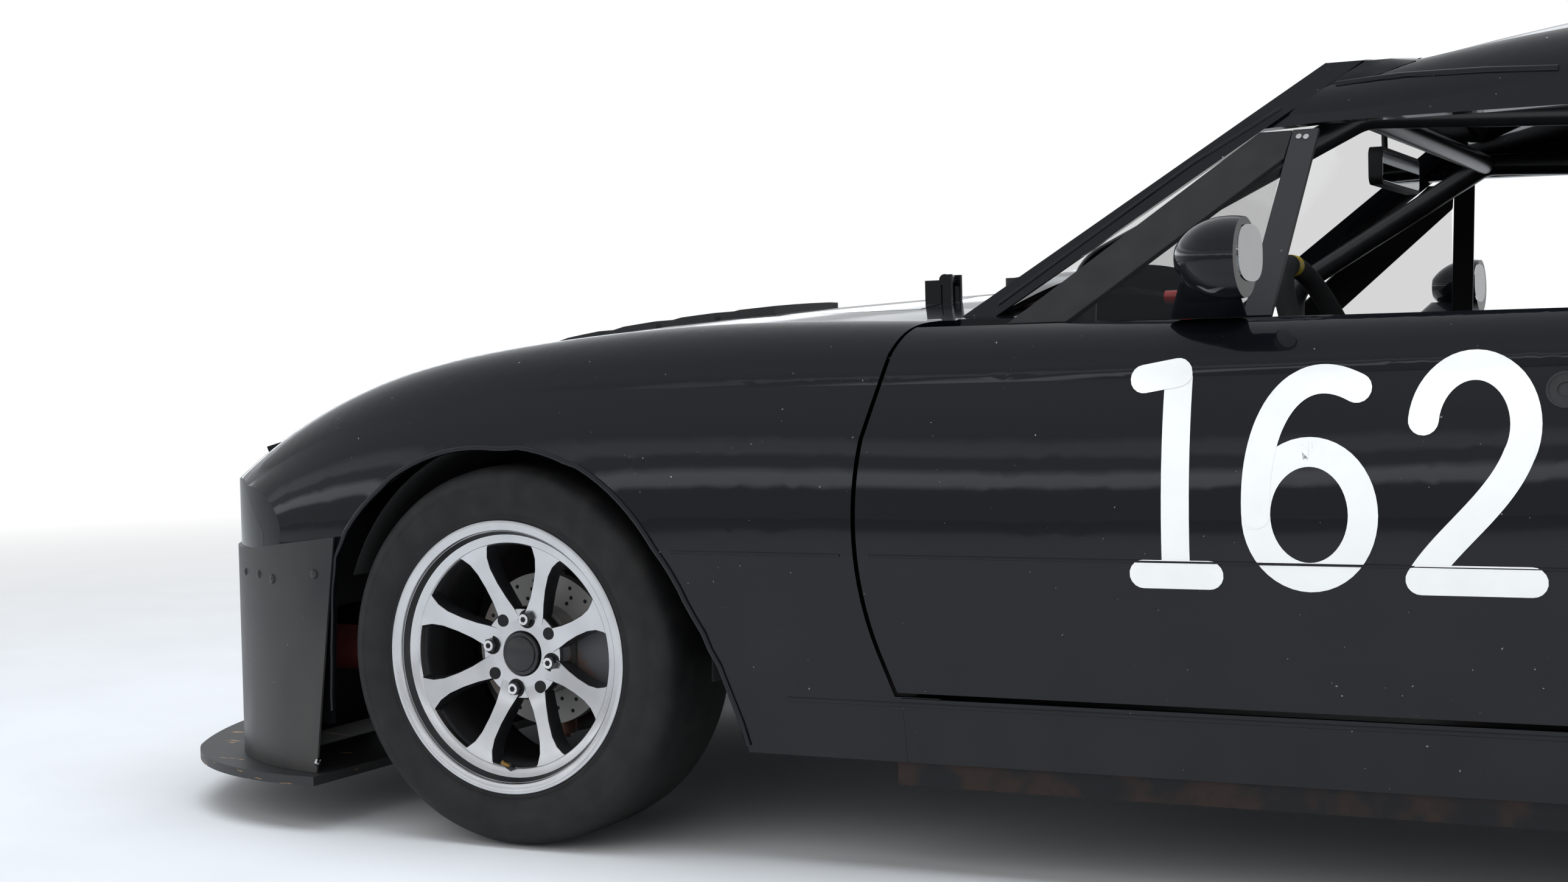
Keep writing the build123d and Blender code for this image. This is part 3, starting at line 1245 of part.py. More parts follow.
# Outer mirrors stand on the doors
MirrorStation = namedtuple("MirrorStation", "x y half_y half_z")
MIRROR_Z = 842.0
MIRROR_SHAPE = [MirrorStation(fx(-1062), 850, 22, 20), MirrorStation(fx(-1096), 855, 54, 46),
                MirrorStation(fx(-1150), 857, 58, 51)]
with BuildPart() as mirror_left:
    with BuildSketch(Plane.XY.offset(BELT_Z + SEAT_GAP)):
        with Locations((fx(-1075), 766)):
            Ellipse(52, 20)
    with BuildSketch(Plane.XY.offset(BELT_Z + 45)):
        with Locations((fx(-1095), 835)):
            Ellipse(36, 24)
    loft()
    for station in MIRROR_SHAPE:
        with BuildSketch(Plane.YZ.offset(station.x)):
            with Locations((station.y, MIRROR_Z)):
                Ellipse(station.half_y, station.half_z)
    loft()
save(mirror_left.part, "mirror_left")
save(other_hand(mirror_left.part), "mirror_right")

# Louvred vents on the bonnet
LOUVRES = 5
LOUVRE_TIP_X = fx(176)
LOUVRE_PITCH = 110.5
LOUVRE_LENGTH = 100.0
LOUVRE_RISE = 13.0
VENT_Y = 300.0
VENT_HALF = 118.0
with BuildPart() as bonnet_vents:
    for hand in (1, -1):
        for number in range(LOUVRES):
            tip = LOUVRE_TIP_X - number * LOUVRE_PITCH
            front = tip + LOUVRE_LENGTH
            low, high = surface_z(front, VENT_Y), surface_z(tip, VENT_Y)
            add(side_prism([(front, low + 3), (front, low - 30), (tip, high - 30),
                            (tip, high + LOUVRE_RISE + 3)],
                           hand * VENT_Y - VENT_HALF, hand * VENT_Y + VENT_HALF))
    add(raised_hull(LOUVRE_RISE), mode=Mode.INTERSECT)
    add(raised_hull(SEAT_GAP), mode=Mode.SUBTRACT)
save(bonnet_vents.part, "bonnet_vents")

with BuildPart() as wipers:
    for foot_y, tip_y in ((330, 40), (-80, -400)):
        foot_x = fx(-640)
        foot_z = surface_z(foot_x, foot_y)
        add(rod((foot_x, foot_y, foot_z - 4), (foot_x, foot_y, foot_z + 24), 12))
        add(rod((foot_x, foot_y, foot_z + 18), (fx(-600), tip_y, surface_z(fx(-600), tip_y) + 30), 6))
    add(raised_hull(SEAT_GAP), mode=Mode.SUBTRACT)
save(wipers.part, "wipers")

with BuildPart() as brake_ducts:
    for hand in (1, -1):
        add(tube([(fx(640), hand * 560, 260), (fx(480), hand * 520, 250), (fx(380), hand * 440, 250)],
                 80, 38))
        add(box_between((fx(400), hand * 420.15 - 19.85, 244), (fx(414), hand * 420.15 + 19.85, 256)))
save(brake_ducts.part, "brake_ducts")
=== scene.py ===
"""The looks of a low black track roadster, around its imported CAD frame.

Metres throughout, in the frame's own axes: +X forward, +Y to the car's left, +Z up, ground at 0.
"""

import json
import math

import bmesh
import bpy
from mathutils import Matrix, Vector


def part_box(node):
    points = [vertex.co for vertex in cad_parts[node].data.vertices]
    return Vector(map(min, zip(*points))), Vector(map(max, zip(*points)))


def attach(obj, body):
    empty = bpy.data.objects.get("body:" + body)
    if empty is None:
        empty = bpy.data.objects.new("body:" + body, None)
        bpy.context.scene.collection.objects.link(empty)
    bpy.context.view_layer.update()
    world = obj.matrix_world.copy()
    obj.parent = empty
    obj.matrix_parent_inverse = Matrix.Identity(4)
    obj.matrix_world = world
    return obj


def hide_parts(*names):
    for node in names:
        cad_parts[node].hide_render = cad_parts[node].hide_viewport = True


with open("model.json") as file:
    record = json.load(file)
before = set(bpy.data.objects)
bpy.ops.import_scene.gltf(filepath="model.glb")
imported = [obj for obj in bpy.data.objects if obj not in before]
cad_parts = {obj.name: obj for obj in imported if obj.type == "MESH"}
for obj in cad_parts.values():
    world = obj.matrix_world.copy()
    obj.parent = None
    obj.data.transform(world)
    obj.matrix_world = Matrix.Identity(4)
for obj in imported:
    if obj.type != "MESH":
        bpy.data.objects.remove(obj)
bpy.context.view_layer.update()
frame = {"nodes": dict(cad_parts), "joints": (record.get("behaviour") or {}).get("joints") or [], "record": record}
MM = 0.001

# Wheel places, from the frame's own joints
JOINTS = {joint["name"]: joint for joint in frame["joints"]}
CORNERS = ("front_left", "front_right", "rear_left", "rear_right")
WHEEL_CENTRE = {name: Vector(JOINTS[f"spin_{name}"]["pos_m"]) for name in CORNERS}
FRONT_AXLE_X = WHEEL_CENTRE["front_left"].x


def ahead(millimetres):
    """A place along the car, counted forward from the front axle."""
    return FRONT_AXLE_X + millimetres * MM


def add_object(name, data):
    """A new object in the scene."""
    thing = bpy.data.objects.new(name, data)
    bpy.context.scene.collection.objects.link(thing)
    return thing


# Materials
def feed(node, inputs):
    """Sets a node's inputs by name or number: a socket is linked, any other value is set."""
    for name, value in inputs.items():
        if isinstance(value, bpy.types.NodeSocket):
            node.id_data.links.new(value, node.inputs[name])
        else:
            node.inputs[name].default_value = value


def add_node(tree, kind, inputs, **settings):
    """The outputs of a new node, with its settings and inputs."""
    node = tree.nodes.new(f"ShaderNode{kind}")
    for name, value in settings.items():
        setattr(node, name, value)
    feed(node, inputs)
    return node.outputs


def noise(tree, scale, detail=4.0, stretch=(1.0, 1.0, 1.0)):
    """Noise in the object's own coordinates."""
    place = add_node(tree, "TexCoord", {})["Object"]
    place = add_node(tree, "Mapping", {"Vector": place, "Scale": stretch})["Vector"]
    return add_node(tree, "TexNoise", {"Vector": place, "Scale": scale, "Detail": detail})["Fac"]


def ramp(tree, value, low, high):
    """A value read between two limits, as 0 to 1."""
    return add_node(tree, "MapRange", {"Value": value, "From Min": low, "From Max": high})["Result"]


def calculated(tree, operation, first, second):
    """A value put together with a number or with another value."""
    return add_node(tree, "Math", {0: first, 1: second}, operation=operation)["Value"]


def product(tree, first, second):
    """Two values multiplied."""
    return calculated(tree, "MULTIPLY", first, second)


def mixed_colour(tree, factor, first, second):
    """One colour turning into another by a factor; a colour is a triple or a socket."""
    first, second = [(*colour, 1.0) if isinstance(colour, tuple) else colour for colour in (first, second)]
    return add_node(tree, "Mix", {"Factor": factor, "A": first, "B": second}, data_type="RGBA")["Result"]


def height(tree, coordinates="Object"):
    """The height of a point, or of a direction from the middle."""
    place = add_node(tree, "TexCoord", {})[coordinates]
    return add_node(tree, "SeparateXYZ", {"Vector": place})["Z"]


def bump(tree, value, strength, distance):
    """A bump from a value."""
    return add_node(tree, "Bump", {"Height": value, "Strength": strength, "Distance": distance})["Normal"]


def new_material(name):
    """A new material with its node tree and its shader."""
    material = bpy.data.materials.new(name)
    material.use_nodes = True
    return material, material.node_tree, material.node_tree.nodes["Principled BSDF"]


DUST = (0.16, 0.145, 0.125)
DUSTIEST_Z = 0.10
CHIPPED_PAINT = (0.5, 0.49, 0.47)
COAT_IOR, COAT_ROUGHNESS = 1.36, 0.03
COATED_SPECULAR, BARE_SPECULAR = 0.02, 0.35
RUST = (0.16, 0.06, 0.025)
WOOD_DARK, WOOD_PALE = (0.20, 0.11, 0.05), (0.38, 0.24, 0.12)
WOOD_PAINT = (0.012, 0.012, 0.013)
RUBBER, SCRUBBED_RUBBER = (0.006, 0.006, 0.0065), (0.013, 0.0125, 0.012)


def paint(name, colour, roughness, coat, dust_top, dust_amount):
    """Car paint with stone chips and with dust that thins out towards dust_top."""
    material, tree, shader = new_material(name)
    low = ramp(tree, height(tree), dust_top, DUSTIEST_Z)
    cloud = ramp(tree, noise(tree, 9.0, 6.0, (1.0, 1.0, 0.6)), 0.32, 0.72)
    dusty = product(tree, product(tree, low, cloud), dust_amount)
    chips = product(tree, ramp(tree, noise(tree, 150.0, 2.0), 0.765, 0.79), 0.4)
    feed(shader, {
        "Base Color": mixed_colour(tree, chips, mixed_colour(tree, dusty, colour, DUST), CHIPPED_PAINT),
        "Roughness": calculated(tree, "ADD", product(tree, dusty, 0.9), roughness),
        "Coat Weight": coat, "Coat Roughness": COAT_ROUGHNESS, "Coat IOR": COAT_IOR,
        "Specular IOR Level": COATED_SPECULAR if coat else BARE_SPECULAR,
        "Normal": bump(tree, noise(tree, 900.0, 2.0), 0.02, 0.0005),
    })
    return material


def plain(name, colour, roughness, metallic=0.0, grain=300.0, depth=0.15, tone=0.35, coat=0.0):
    """A finish with slight changes of tone and a fine grain."""
    material, tree, shader = new_material(name)
    darker = tuple(channel * (1 - tone) for channel in colour)
    spread = ramp(tree, noise(tree, 24.0, 5.0), 0.3, 0.7)
    feed(shader, {
        "Base Color": mixed_colour(tree, spread, darker, colour), "Roughness": roughness,
        "Metallic": metallic, "Coat Weight": coat,
        "Normal": bump(tree, noise(tree, grain, 3.0), depth, 0.0006),
    })
    return material


def glass(name, tint, see_through):
    """Thin glass: mostly see-through, with a clear reflection."""
    material, tree, shader = new_material(name)
    smear = ramp(tree, noise(tree, 14.0, 5.0), 0.3, 0.8)
    feed(shader, {"Base Color": (*tint, 1.0), "Roughness": product(tree, smear, 0.10),
                  "Alpha": 1.0 - see_through})
    return material


def steel_wear(name, colour, rust):
    """Bare or painted metal with rust in patches."""
    material, tree, shader = new_material(name)
    patches = product(tree, ramp(tree, noise(tree, 16.0, 8.0), 0.5, 0.62), rust)
    feed(shader, {"Base Color": mixed_colour(tree, patches, colour, RUST), "Roughness": 0.55,
                  "Metallic": 0.5, "Normal": bump(tree, noise(tree, 160.0, 5.0), 0.4, 0.001)})
    return material


def painted_wood(name):
    """Black paint on plywood, chipped through to the wood where it is knocked."""
    material, tree, shader = new_material(name)
    chips = ramp(tree, noise(tree, 34.0, 8.0, (0.5, 1.0, 3.0)), 0.63, 0.68)
    grain = noise(tree, 60.0, 4.0, (0.15, 3.0, 6.0))
    wood = mixed_colour(tree, grain, WOOD_DARK, WOOD_PALE)
    feed(shader, {"Base Color": mixed_colour(tree, chips, WOOD_PAINT, wood), "Roughness": 0.5,
                  "Normal": bump(tree, grain, 0.25, 0.001)})
    return material


def tyre_rubber(name):
    """Rubber, scrubbed grey and a little dusty."""
    material, tree, shader = new_material(name)
    cloud = ramp(tree, noise(tree, 30.0, 7.0), 0.35, 0.75)
    feed(shader, {"Base Color": mixed_colour(tree, cloud, RUBBER, SCRUBBED_RUBBER), "Roughness": 0.6,
                  "Specular IOR Level": 0.3, "Normal": bump(tree, noise(tree, 500.0, 4.0), 0.3, 0.0006)})
    return material


# Finishes by material slot
MATERIALS = {
    "black_paint": paint("gloss black paint", (0.004, 0.0045, 0.006), 0.22, 1.0, 0.55, 0.03),
    "satin_sheet": paint("satin black sheet", (0.017, 0.017, 0.018), 0.34, 0.0, 0.75, 0.22),
    "painted_wood": painted_wood("painted plywood"),
    "clear_glass": glass("window glass", (0.01, 0.012, 0.012), 0.82),
    "underbody": steel_wear("underbody paint", (0.008, 0.008, 0.009), 0.10),
    "grey_steel": steel_wear("suspension steel", (0.10, 0.10, 0.105), 0.8),
    "cage_paint": plain("cage paint", (0.02, 0.02, 0.022), 0.3),
    "black_plastic": plain("black plastic", (0.016, 0.016, 0.017), 0.55, depth=0.4),
    "seat_cloth": plain("seat cloth", (0.02, 0.02, 0.022), 0.9, grain=700.0, depth=0.7),
    "suede": plain("suede", (0.022, 0.022, 0.023), 0.95, grain=900.0, depth=0.8),
    "engine_alloy": plain("cast alloy", (0.35, 0.35, 0.36), 0.5, 0.8, depth=0.5),
    "exhaust_steel": steel_wear("exhaust steel", (0.34, 0.31, 0.28), 0.6),
    "lamp_red": plain("red lamp lens", (0.35, 0.008, 0.008), 0.12, depth=0.02, coat=1.0),
    "red_hose": plain("red duct hose", (0.16, 0.022, 0.016), 0.7, depth=0.5),
    "tyre_rubber": tyre_rubber("tyre rubber"),
    "machined_alloy": plain("machined alloy", (0.62, 0.62, 0.63), 0.24, 1.0, 900.0, 0.06, 0.12),
    "disc_iron": steel_wear("disc iron", (0.30, 0.29, 0.28), 0.35),
}
# Finishes of small things, within others' slots
LENS = plain("lamp lens", (0.55, 0.57, 0.60), 0.08, 0.6, tone=0.1, depth=0.02, coat=1.0)
SPOKE_BLACK = plain("spoke black", (0.012, 0.012, 0.013), 0.32)
WHITE_FILM = plain("white film", (0.82, 0.82, 0.80), 0.35, tone=0.04, depth=0.02)
BRASS = plain("brass", (0.55, 0.33, 0.10), 0.35, 1.0)
CHROME = plain("bright steel", (0.7, 0.7, 0.7), 0.16, 1.0, tone=0.1)
SEAL_RUBBER = plain("seal rubber", (0.012, 0.012, 0.012), 0.75, depth=0.3)
YELLOW = plain("yellow tape", (0.7, 0.5, 0.03), 0.6)
# The near-black finish: painted shade in the wheels' holes and round their nuts, on the liners and the wheel-well
# covers; also the dial faces' own black
BLACK_AND_PAINTED_SHADE = plain("near black and painted shade", (0.004, 0.004, 0.004), 0.8)
SILVERED = plain("silvered glass", (0.75, 0.77, 0.78), 0.03, 1.0, tone=0.05, depth=0.01)

SLOT_OF = {row["node"]: row["material_slot"] for row in frame["record"]["subparts"]}
for node_name, node in frame["nodes"].items():
    node.data.materials.clear()
    node.data.materials.append(MATERIALS[SLOT_OF[node_name]])


# Mesh helpers
def finish_mesh(mesh, name, body, slot, material=None, smooth=30.0, bevel=0.0):
    """An object from a bmesh, riding on a CAD body, in the given finishes or its slot's own."""
    data = bpy.data.meshes.new(name)
    bmesh.ops.recalc_face_normals(mesh, faces=mesh.faces)
    mesh.to_mesh(data)
    mesh.free()
    thing = add_object(name, data)
    material = material or MATERIALS[slot]
    for entry in material if isinstance(material, tuple) else (material,):
        data.materials.append(entry)
    for polygon in data.polygons:
        polygon.use_smooth = True
    data.set_sharp_from_angle(angle=math.radians(smooth))
    if bevel:
        edge = thing.modifiers.new("edge", "BEVEL")
        edge.width = bevel
        edge.segments = 2
        edge.limit_method = "ANGLE"
    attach(thing, body)
    return thing


def around(count):
    """The angles of a full turn in equal steps."""
    return [2 * math.pi * k / count for k in range(count)]


def bridge(mesh, near, far, closed=True, material_index=0):
    """The faces between two rows of points; a gap in a row stays open."""
    faces = []
    for k in range(len(near) if closed else len(near) - 1):
        follow = (k + 1) % len(near)
        corners = (near[k], near[follow], far[follow], far[k])
        if all(corner is not None for corner in corners):
            faces.append(mesh.faces.new(corners))
            faces[-1].material_index = material_index
    return faces


def add_lathe(mesh, profile, segments, turned=None, material_index=0):
    """A ring turned about the Y axis from a closed profile of (radius, y) points."""
    rings = [[mesh.verts.new((r * math.cos(t), y, r * math.sin(t))) for r, y in profile]
             for t in around(segments)]
    for near, far in zip(rings, rings[1:] + rings[:1]):
        bridge(mesh, near, far, material_index=material_index)
    if turned is not None:
        bmesh.ops.transform(mesh, matrix=turned, verts=[vertex for ring in rings for vertex in ring])


def add_prism(mesh, outline, depth, place, material_index=0):
    """A flat outline of (u, v) points pushed to a depth along its normal, then placed."""
    low, high = [[mesh.verts.new(place @ Vector((u, v, level))) for u, v in outline]
                 for level in (0.0, depth)]
    for row in (low[::-1], high):
        mesh.faces.new(row).material_index = material_index
    bridge(mesh, low, high, material_index=material_index)


def disc_outline(radius, sides, centre=(0.0, 0.0)):
    """A regular outline."""
    return [(centre[0] + radius * math.cos(t), centre[1] + radius * math.sin(t)) for t in around(sides)]


def facing(origin, normal, up=(0.0, 0.0, 1.0)):
    """The placing matrix of a plane at origin, with its local Z along normal and its Y near up."""
    z = Vector(normal).normalized()
    x = Vector(up).cross(z).normalized()
    y = z.cross(x)
    return place_matrix(x, y, z, origin)


def place_matrix(x, y, z, origin):
    """A placing matrix from three axes and an origin."""
    matrix = Matrix((x, y, z)).transposed().to_4x4()
    matrix.translation = Vector(origin)
    return matrix


# A direction that no tube runs along
TUBE_UP = (0.13, 0.29, 0.95)


def add_tube(mesh, points, radius, sides, material_index=0):
    """A round tube through points, closed at both ends."""
    rings = []
    for k, point in enumerate(points):
        before = points[max(k - 1, 0)]
        after = points[min(k + 1, len(points) - 1)]
        place = facing(point, Vector(after) - Vector(before), TUBE_UP)
        rings.append([mesh.verts.new(place @ Vector((u, v, 0.0))) for u, v in disc_outline(radius, sides)])
    for near, far in zip(rings, rings[1:]):
        bridge(mesh, near, far, material_index=material_index)
    for ring in (rings[0][::-1], rings[-1]):
        mesh.faces.new(ring).material_index = material_index


# The CAD nodes are probed from outside, so that trim sits on their faces
scene_graph = bpy.context.evaluated_depsgraph_get()


def on_panel(node_name, start, direction):
    """Where a line from start meets a CAD node, and the face's normal there."""
    node = frame["nodes"][node_name].evaluated_get(scene_graph)
    hit, where, normal, _ = node.ray_cast(Vector(start), Vector(direction))
    if not hit:
        return None, None
    if normal.dot(Vector(direction)) > 0:
        normal = -normal
    return where, normal


# Wheels: drawn about their centre with the outer face towards +Y, then placed at each corner
TYRE_PROFILE = [
    (0.1903, 0.095), (0.200, 0.099), (0.207, 0.101), (0.212, 0.1035), (0.214, 0.1020), (0.217, 0.1020),
    (0.220, 0.1045), (0.230, 0.1068), (0.242, 0.1078), (0.255, 0.1075), (0.257, 0.1068), (0.259, 0.1073),
    (0.268, 0.1045), (0.2765, 0.0985), (0.2825, 0.0905), (0.2865, 0.081), (0.2880, 0.070), (0.2893, 0.045),
    (0.2899, 0.0),
]


def build_tyre(mesh):
    """A slick tyre with moulded rings on its sidewalls."""
    profile = TYRE_PROFILE + [(r, -y) for r, y in TYRE_PROFILE[-2::-1]]
    add_lathe(mesh, profile, 128)


SPOKES = 8
HUB_FACE = 0.0550
SPOKE_EDGE_DEPTH, SPOKE_EDGE_WIDTH = 0.003, 0.0015
SPOKE_SECTIONS = [
    # radius, heights of the face and the back, half widths of the face and the back
    (0.050, 0.0550, 0.030, 0.0185, 0.0185),
    (0.068, 0.0560, 0.032, 0.0158, 0.0175),
    (0.088, 0.0610, 0.036, 0.0126, 0.0160),
    (0.112, 0.0680, 0.041, 0.0112, 0.0150),
    (0.136, 0.0745, 0.046, 0.0122, 0.0160),
    (0.153, 0.0785, 0.050, 0.0165, 0.0200),
    (0.166, 0.0815, 0.054, 0.0245, 0.0270),
    (0.175, 0.0830, 0.060, 0.0350, 0.0360),
]
# Profiles of (radius, y) points
BARREL = [
    (0.190, 0.097), (0.190, 0.070), (0.174, 0.060), (0.174, -0.060), (0.190, -0.070), (0.190, -0.097),
    (0.207, -0.098), (0.207, -0.104), (0.200, -0.104), (0.184, -0.097), (0.183, -0.070), (0.167, -0.057),
    (0.167, 0.056), (0.1705, 0.064), (0.176, 0.072),
]
LIP = [
    (0.1700, 0.0690), (0.1695, 0.0800), (0.1720, 0.0835), (0.1755, 0.0845), (0.1850, 0.0870),
    (0.1890, 0.0895), (0.1905, 0.0985), (0.1925, 0.1015), (0.1955, 0.1020), (0.1985, 0.1030),
    (0.2030, 0.1043), (0.2062, 0.1040), (0.2076, 0.1022), (0.2072, 0.0978), (0.1902, 0.0972),
    (0.1832, 0.0840),
]
HUB_RING = [
    (0.0315, 0.027), (0.0720, 0.027), (0.0710, 0.050), (0.0680, HUB_FACE), (0.0355, HUB_FACE),
    (0.0325, 0.0530),
]
HUB_CAP = [
    (0.0, 0.050), (0.0310, 0.050), (0.0322, 0.0560), (0.0312, 0.0585), (0.0275, 0.0590),
    (0.0262, 0.0615), (0.0240, 0.0628), (0.0, 0.0632),
]
DISC_PLATE = [
    (0.118, -0.028), (0.118, -0.010), (0.070, -0.010), (0.070, 0.0245), (0.022, 0.0245), (0.022, -0.028),
]


def build_rim(mesh):
    """Black barrel and spoke sides; machined lip, hub face and spoke faces."""
    add_lathe(mesh, BARREL, 96, material_index=1)
    add_lathe(mesh, LIP, 128)
    add_lathe(mesh, HUB_RING, 64)
    for number in range(SPOKES):
        turn = Matrix.Rotation(2 * math.pi * (number + 0.5) / SPOKES, 4, "Y")
        rows = []
        for radius, face, back, face_half, back_half in SPOKE_SECTIONS:
            edge, edge_half = face - SPOKE_EDGE_DEPTH, face_half + SPOKE_EDGE_WIDTH
            section = ((back, -back_half), (edge, -edge_half), (face, -face_half),
                       (face, face_half), (edge, edge_half), (back, back_half))
            rows.append([mesh.verts.new(turn @ Vector((radius, y, across))) for y, across in section])
        for near, far in zip(rows, rows[1:]):
            bridge(mesh, near, far, material_index=1)[2].material_index = 0
        for row in (rows[0], rows[-1][::-1]):
            mesh.faces.new(row).material_index = 1


STUD_R = 0.0545
STUD_TURN = 0.21
OUTWARD_AXES = (Vector((1, 0, 0)), Vector((0, 0, -1)), Vector((0, 1, 0)))
VALVE_R, VALVE_Y, VALVE_TURN = 0.1720, 0.0810, math.radians(88)
HUB_PARTS = [
    # The painted-shade ring round the nut, the nut, its stud, the stud's painted-shade centre mark, and a spare
    # stud hole in painted shade:
    # radius from the hub's middle, eighths of a turn, sides, size, low, high, material index
    (STUD_R, 0, 24, 0.0145, 0.0545, 0.0554, 3),
    (STUD_R, 0, 6, 0.0108, 0.0545, 0.0640, 1),
    (STUD_R, 0, 20, 0.0082, 0.0640, 0.0665, 2),
    (STUD_R, 0, 6, 0.0046, 0.0665, 0.0668, 3),
    (STUD_R + 0.0045, 1, 20, 0.0095, 0.0545, 0.0564, 3),
]


def build_hub(mesh):
    """Cap, nuts, spare stud holes and valve; the ring round each nut, the stud's centre mark and the spare holes
    are flat discs in painted shade.
    """
    add_lathe(mesh, HUB_CAP, 48, material_index=1)
    for number in range(4):
        for radius, eighth, sides, size, low, high, index in HUB_PARTS:
            angle = 2 * math.pi * (number + eighth / 2) / 4 + STUD_TURN
            centre = (radius * math.cos(angle), -radius * math.sin(angle))
            place = place_matrix(*OUTWARD_AXES, (0, low, 0))
            add_prism(mesh, disc_outline(size, sides, centre), high - low, place, index)
    foot = Matrix.Rotation(VALVE_TURN, 4, "Y") @ Vector((VALVE_R, VALVE_Y, 0.0))
    inward = Vector((foot.x, 0.0, foot.z)).normalized()
    bend = foot + Vector((0, 0.009, 0)) - inward * 0.006
    add_tube(mesh, [foot, foot + Vector((0, 0.010, 0)) - inward * 0.006], 0.0052, 12, 1)
    add_tube(mesh, [bend, foot + Vector((0.006, 0.018, 0)) - inward * 0.012], 0.0036, 10, 4)


# Radius and number of holes; each ring has its own turn. The holes are near-black discs of painted shade on the
# disc's face.
DRILLED_RINGS = ((0.082, 14), (0.094, 16), (0.106, 20))
DRILL_R = 0.0032


def build_disc(mesh):
    """A brake disc with its hat; its drilled holes are thin near-black discs of painted shade on its face."""
    add_lathe(mesh, DISC_PLATE, 96)
    place = place_matrix(*OUTWARD_AXES, (0, -0.0101, 0))
    for ring, count in DRILLED_RINGS:
        for turn in around(count):
            angle = turn + ring * 40
            centre = (ring * math.cos(angle), ring * math.sin(angle))
            add_prism(mesh, disc_outline(DRILL_R, 10, centre), 0.0003, place, 1)


def place_wheel(name, kind, build, slot, material=None, smooth=30.0, bevel=0.0):
    """One wheel piece at one corner; all but the hub stand for the CAD piece of their kind."""
    mesh = bmesh.new()
    build(mesh)
    centre = WHEEL_CENTRE[name]
    hand = 1 if centre.y > 0 else -1
    bmesh.ops.transform(mesh, matrix=Matrix.Diagonal((1, hand, 1, 1)), verts=mesh.verts)
    bmesh.ops.translate(mesh, vec=centre, verts=mesh.verts)
    piece = finish_mesh(mesh, f"{kind}_look_{name}", f"wheel_{name}", slot, material, smooth, bevel)
    if kind != "hub":
        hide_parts(f"{kind}_{name}")


ALLOY = MATERIALS["machined_alloy"]
for corner in CORNERS:
    place_wheel(corner, "tyre", build_tyre, "tyre_rubber", smooth=50.0)
    place_wheel(corner, "rim", build_rim, "machined_alloy", (ALLOY, SPOKE_BLACK), bevel=0.0006)
    place_wheel(corner, "hub", build_hub, "machined_alloy", (ALLOY, SPOKE_BLACK, CHROME, BLACK_AND_PAINTED_SHADE, BRASS))
    place_wheel(corner, "disc", build_disc, "disc_iron", (MATERIALS["disc_iron"], BLACK_AND_PAINTED_SHADE), 40.0)


# Camera: fitted to the photograph
PHOTO_W, PHOTO_H = 2576, 1449
FOCAL_PX = 3684.74
SENSOR_MM = 36.0
CAMERA_AT = Vector((FRONT_AXLE_X - 1.8969, 3.6291, 0.7185))
YAW, PITCH, ROLL = math.radians(26.776), math.radians(-1.9132), math.radians(-1.3033)


def turned_pair(first, second, angle):
    """Two directions at right angles, turned in their own plane."""
    return (math.cos(angle) * first + math.sin(angle) * second,
            math.cos(angle) * second - math.sin(angle) * first)


RIGHT, UP = Vector((-math.cos(YAW), -math.sin(YAW), 0.0)), Vector((0.0, 0.0, 1.0))
FORWARD, UP = turned_pair(Vector((math.sin(YAW), -math.cos(YAW), 0.0)), UP, PITCH)
RIGHT, UP = turned_pair(RIGHT, UP, ROLL)
camera_data = bpy.data.cameras.new("photo camera")
camera_data.sensor_width = SENSOR_MM
camera_data.lens = FOCAL_PX / PHOTO_W * SENSOR_MM
camera = add_object("photo camera", camera_data)
camera.matrix_world = place_matrix(RIGHT, UP, -FORWARD, CAMERA_AT)
bpy.context.scene.camera = camera


def pixel_direction(across, down):
    """The direction of a pixel of the photograph."""
    return (RIGHT * (across - PHOTO_W / 2) - UP * (down - PHOTO_H / 2) + FORWARD * FOCAL_PX).normalized()


# Trim that is laid on the panels
HANDS = (("left", 1), ("right", -1))
OUTSIDE = 1.3
LEAST_Y = 0.35
FEWEST_POINTS = 4


def on_side(vector, hand):
    """A place or direction of the left side, taken to the side of a hand."""
    return Vector((vector.x, vector.y * hand, vector.z))


def side_hit(node, x, z, hand):
    """Where a node's outer side stands at x and z, and its normal there."""
    return on_panel(node, (x, hand * OUTSIDE, z), (0, -hand, 0))


def side_place(node, x, z, hand, lift=0.001):
    """The point of a node's outer side at x and z, a little proud, or nothing where it isn't met."""
    where, normal = side_hit(node, x, z, hand)
    if where is None or where.y * hand < LEAST_Y:
        return None
    return where + normal * lift


def runs(points):
    """The unbroken stretches of a row of points with gaps, without the shortest."""
    stretch = []
    for point in list(points) + [None]:
        if point is not None:
            stretch.append(point)
        else:
            if len(stretch) >= FEWEST_POINTS:
                yield stretch
            stretch = []


def laid_bead(name, stretches, radius, body="root"):
    """A painted bead along stretches of points, as one piece."""
    mesh = bmesh.new()
    for stretch in stretches:
        add_tube(mesh, stretch, radius, 8)
    finish_mesh(mesh, name, body, "black_paint", smooth=60.0)


def spaced(low, high, step):
    """Even steps from low to high."""
    count = max(2, int(abs(high - low) / step))
    return [low + (high - low) * k / count for k in range(count + 1)]


CREASE_Z, CREASE_R, CREASE_SINK = 0.455, 0.0026, 0.0008
CREASES = [
    # panel, first and last place from the front axle
    ("fender", -300, -588), ("door", -612, -1600), ("quarter", -1700, -1960),
]
for side, hand in HANDS:
    for panel, first, last in CREASES:
        row = [side_place(f"{panel}_{side}", x, CREASE_Z, hand, -CREASE_SINK)
               for x in spaced(ahead(first), ahead(last), 0.02)]
        body = f"door_{side}" if panel == "door" else "root"
        laid_bead(f"{panel}_crease_{side}", runs(row), CREASE_R, body)

ARCH_LIP_R = 0.0042
ARCH_TURNS = range(-20, 201, 4)
SEARCH_FROM, SEARCH_TO, SEARCH_STEP = 0.29, 0.46, 0.003
# What is met nearer the hub or the middle of the car isn't the arch
ARCH_LEAST_R, ARCH_LEAST_Y = 0.2965, 0.70


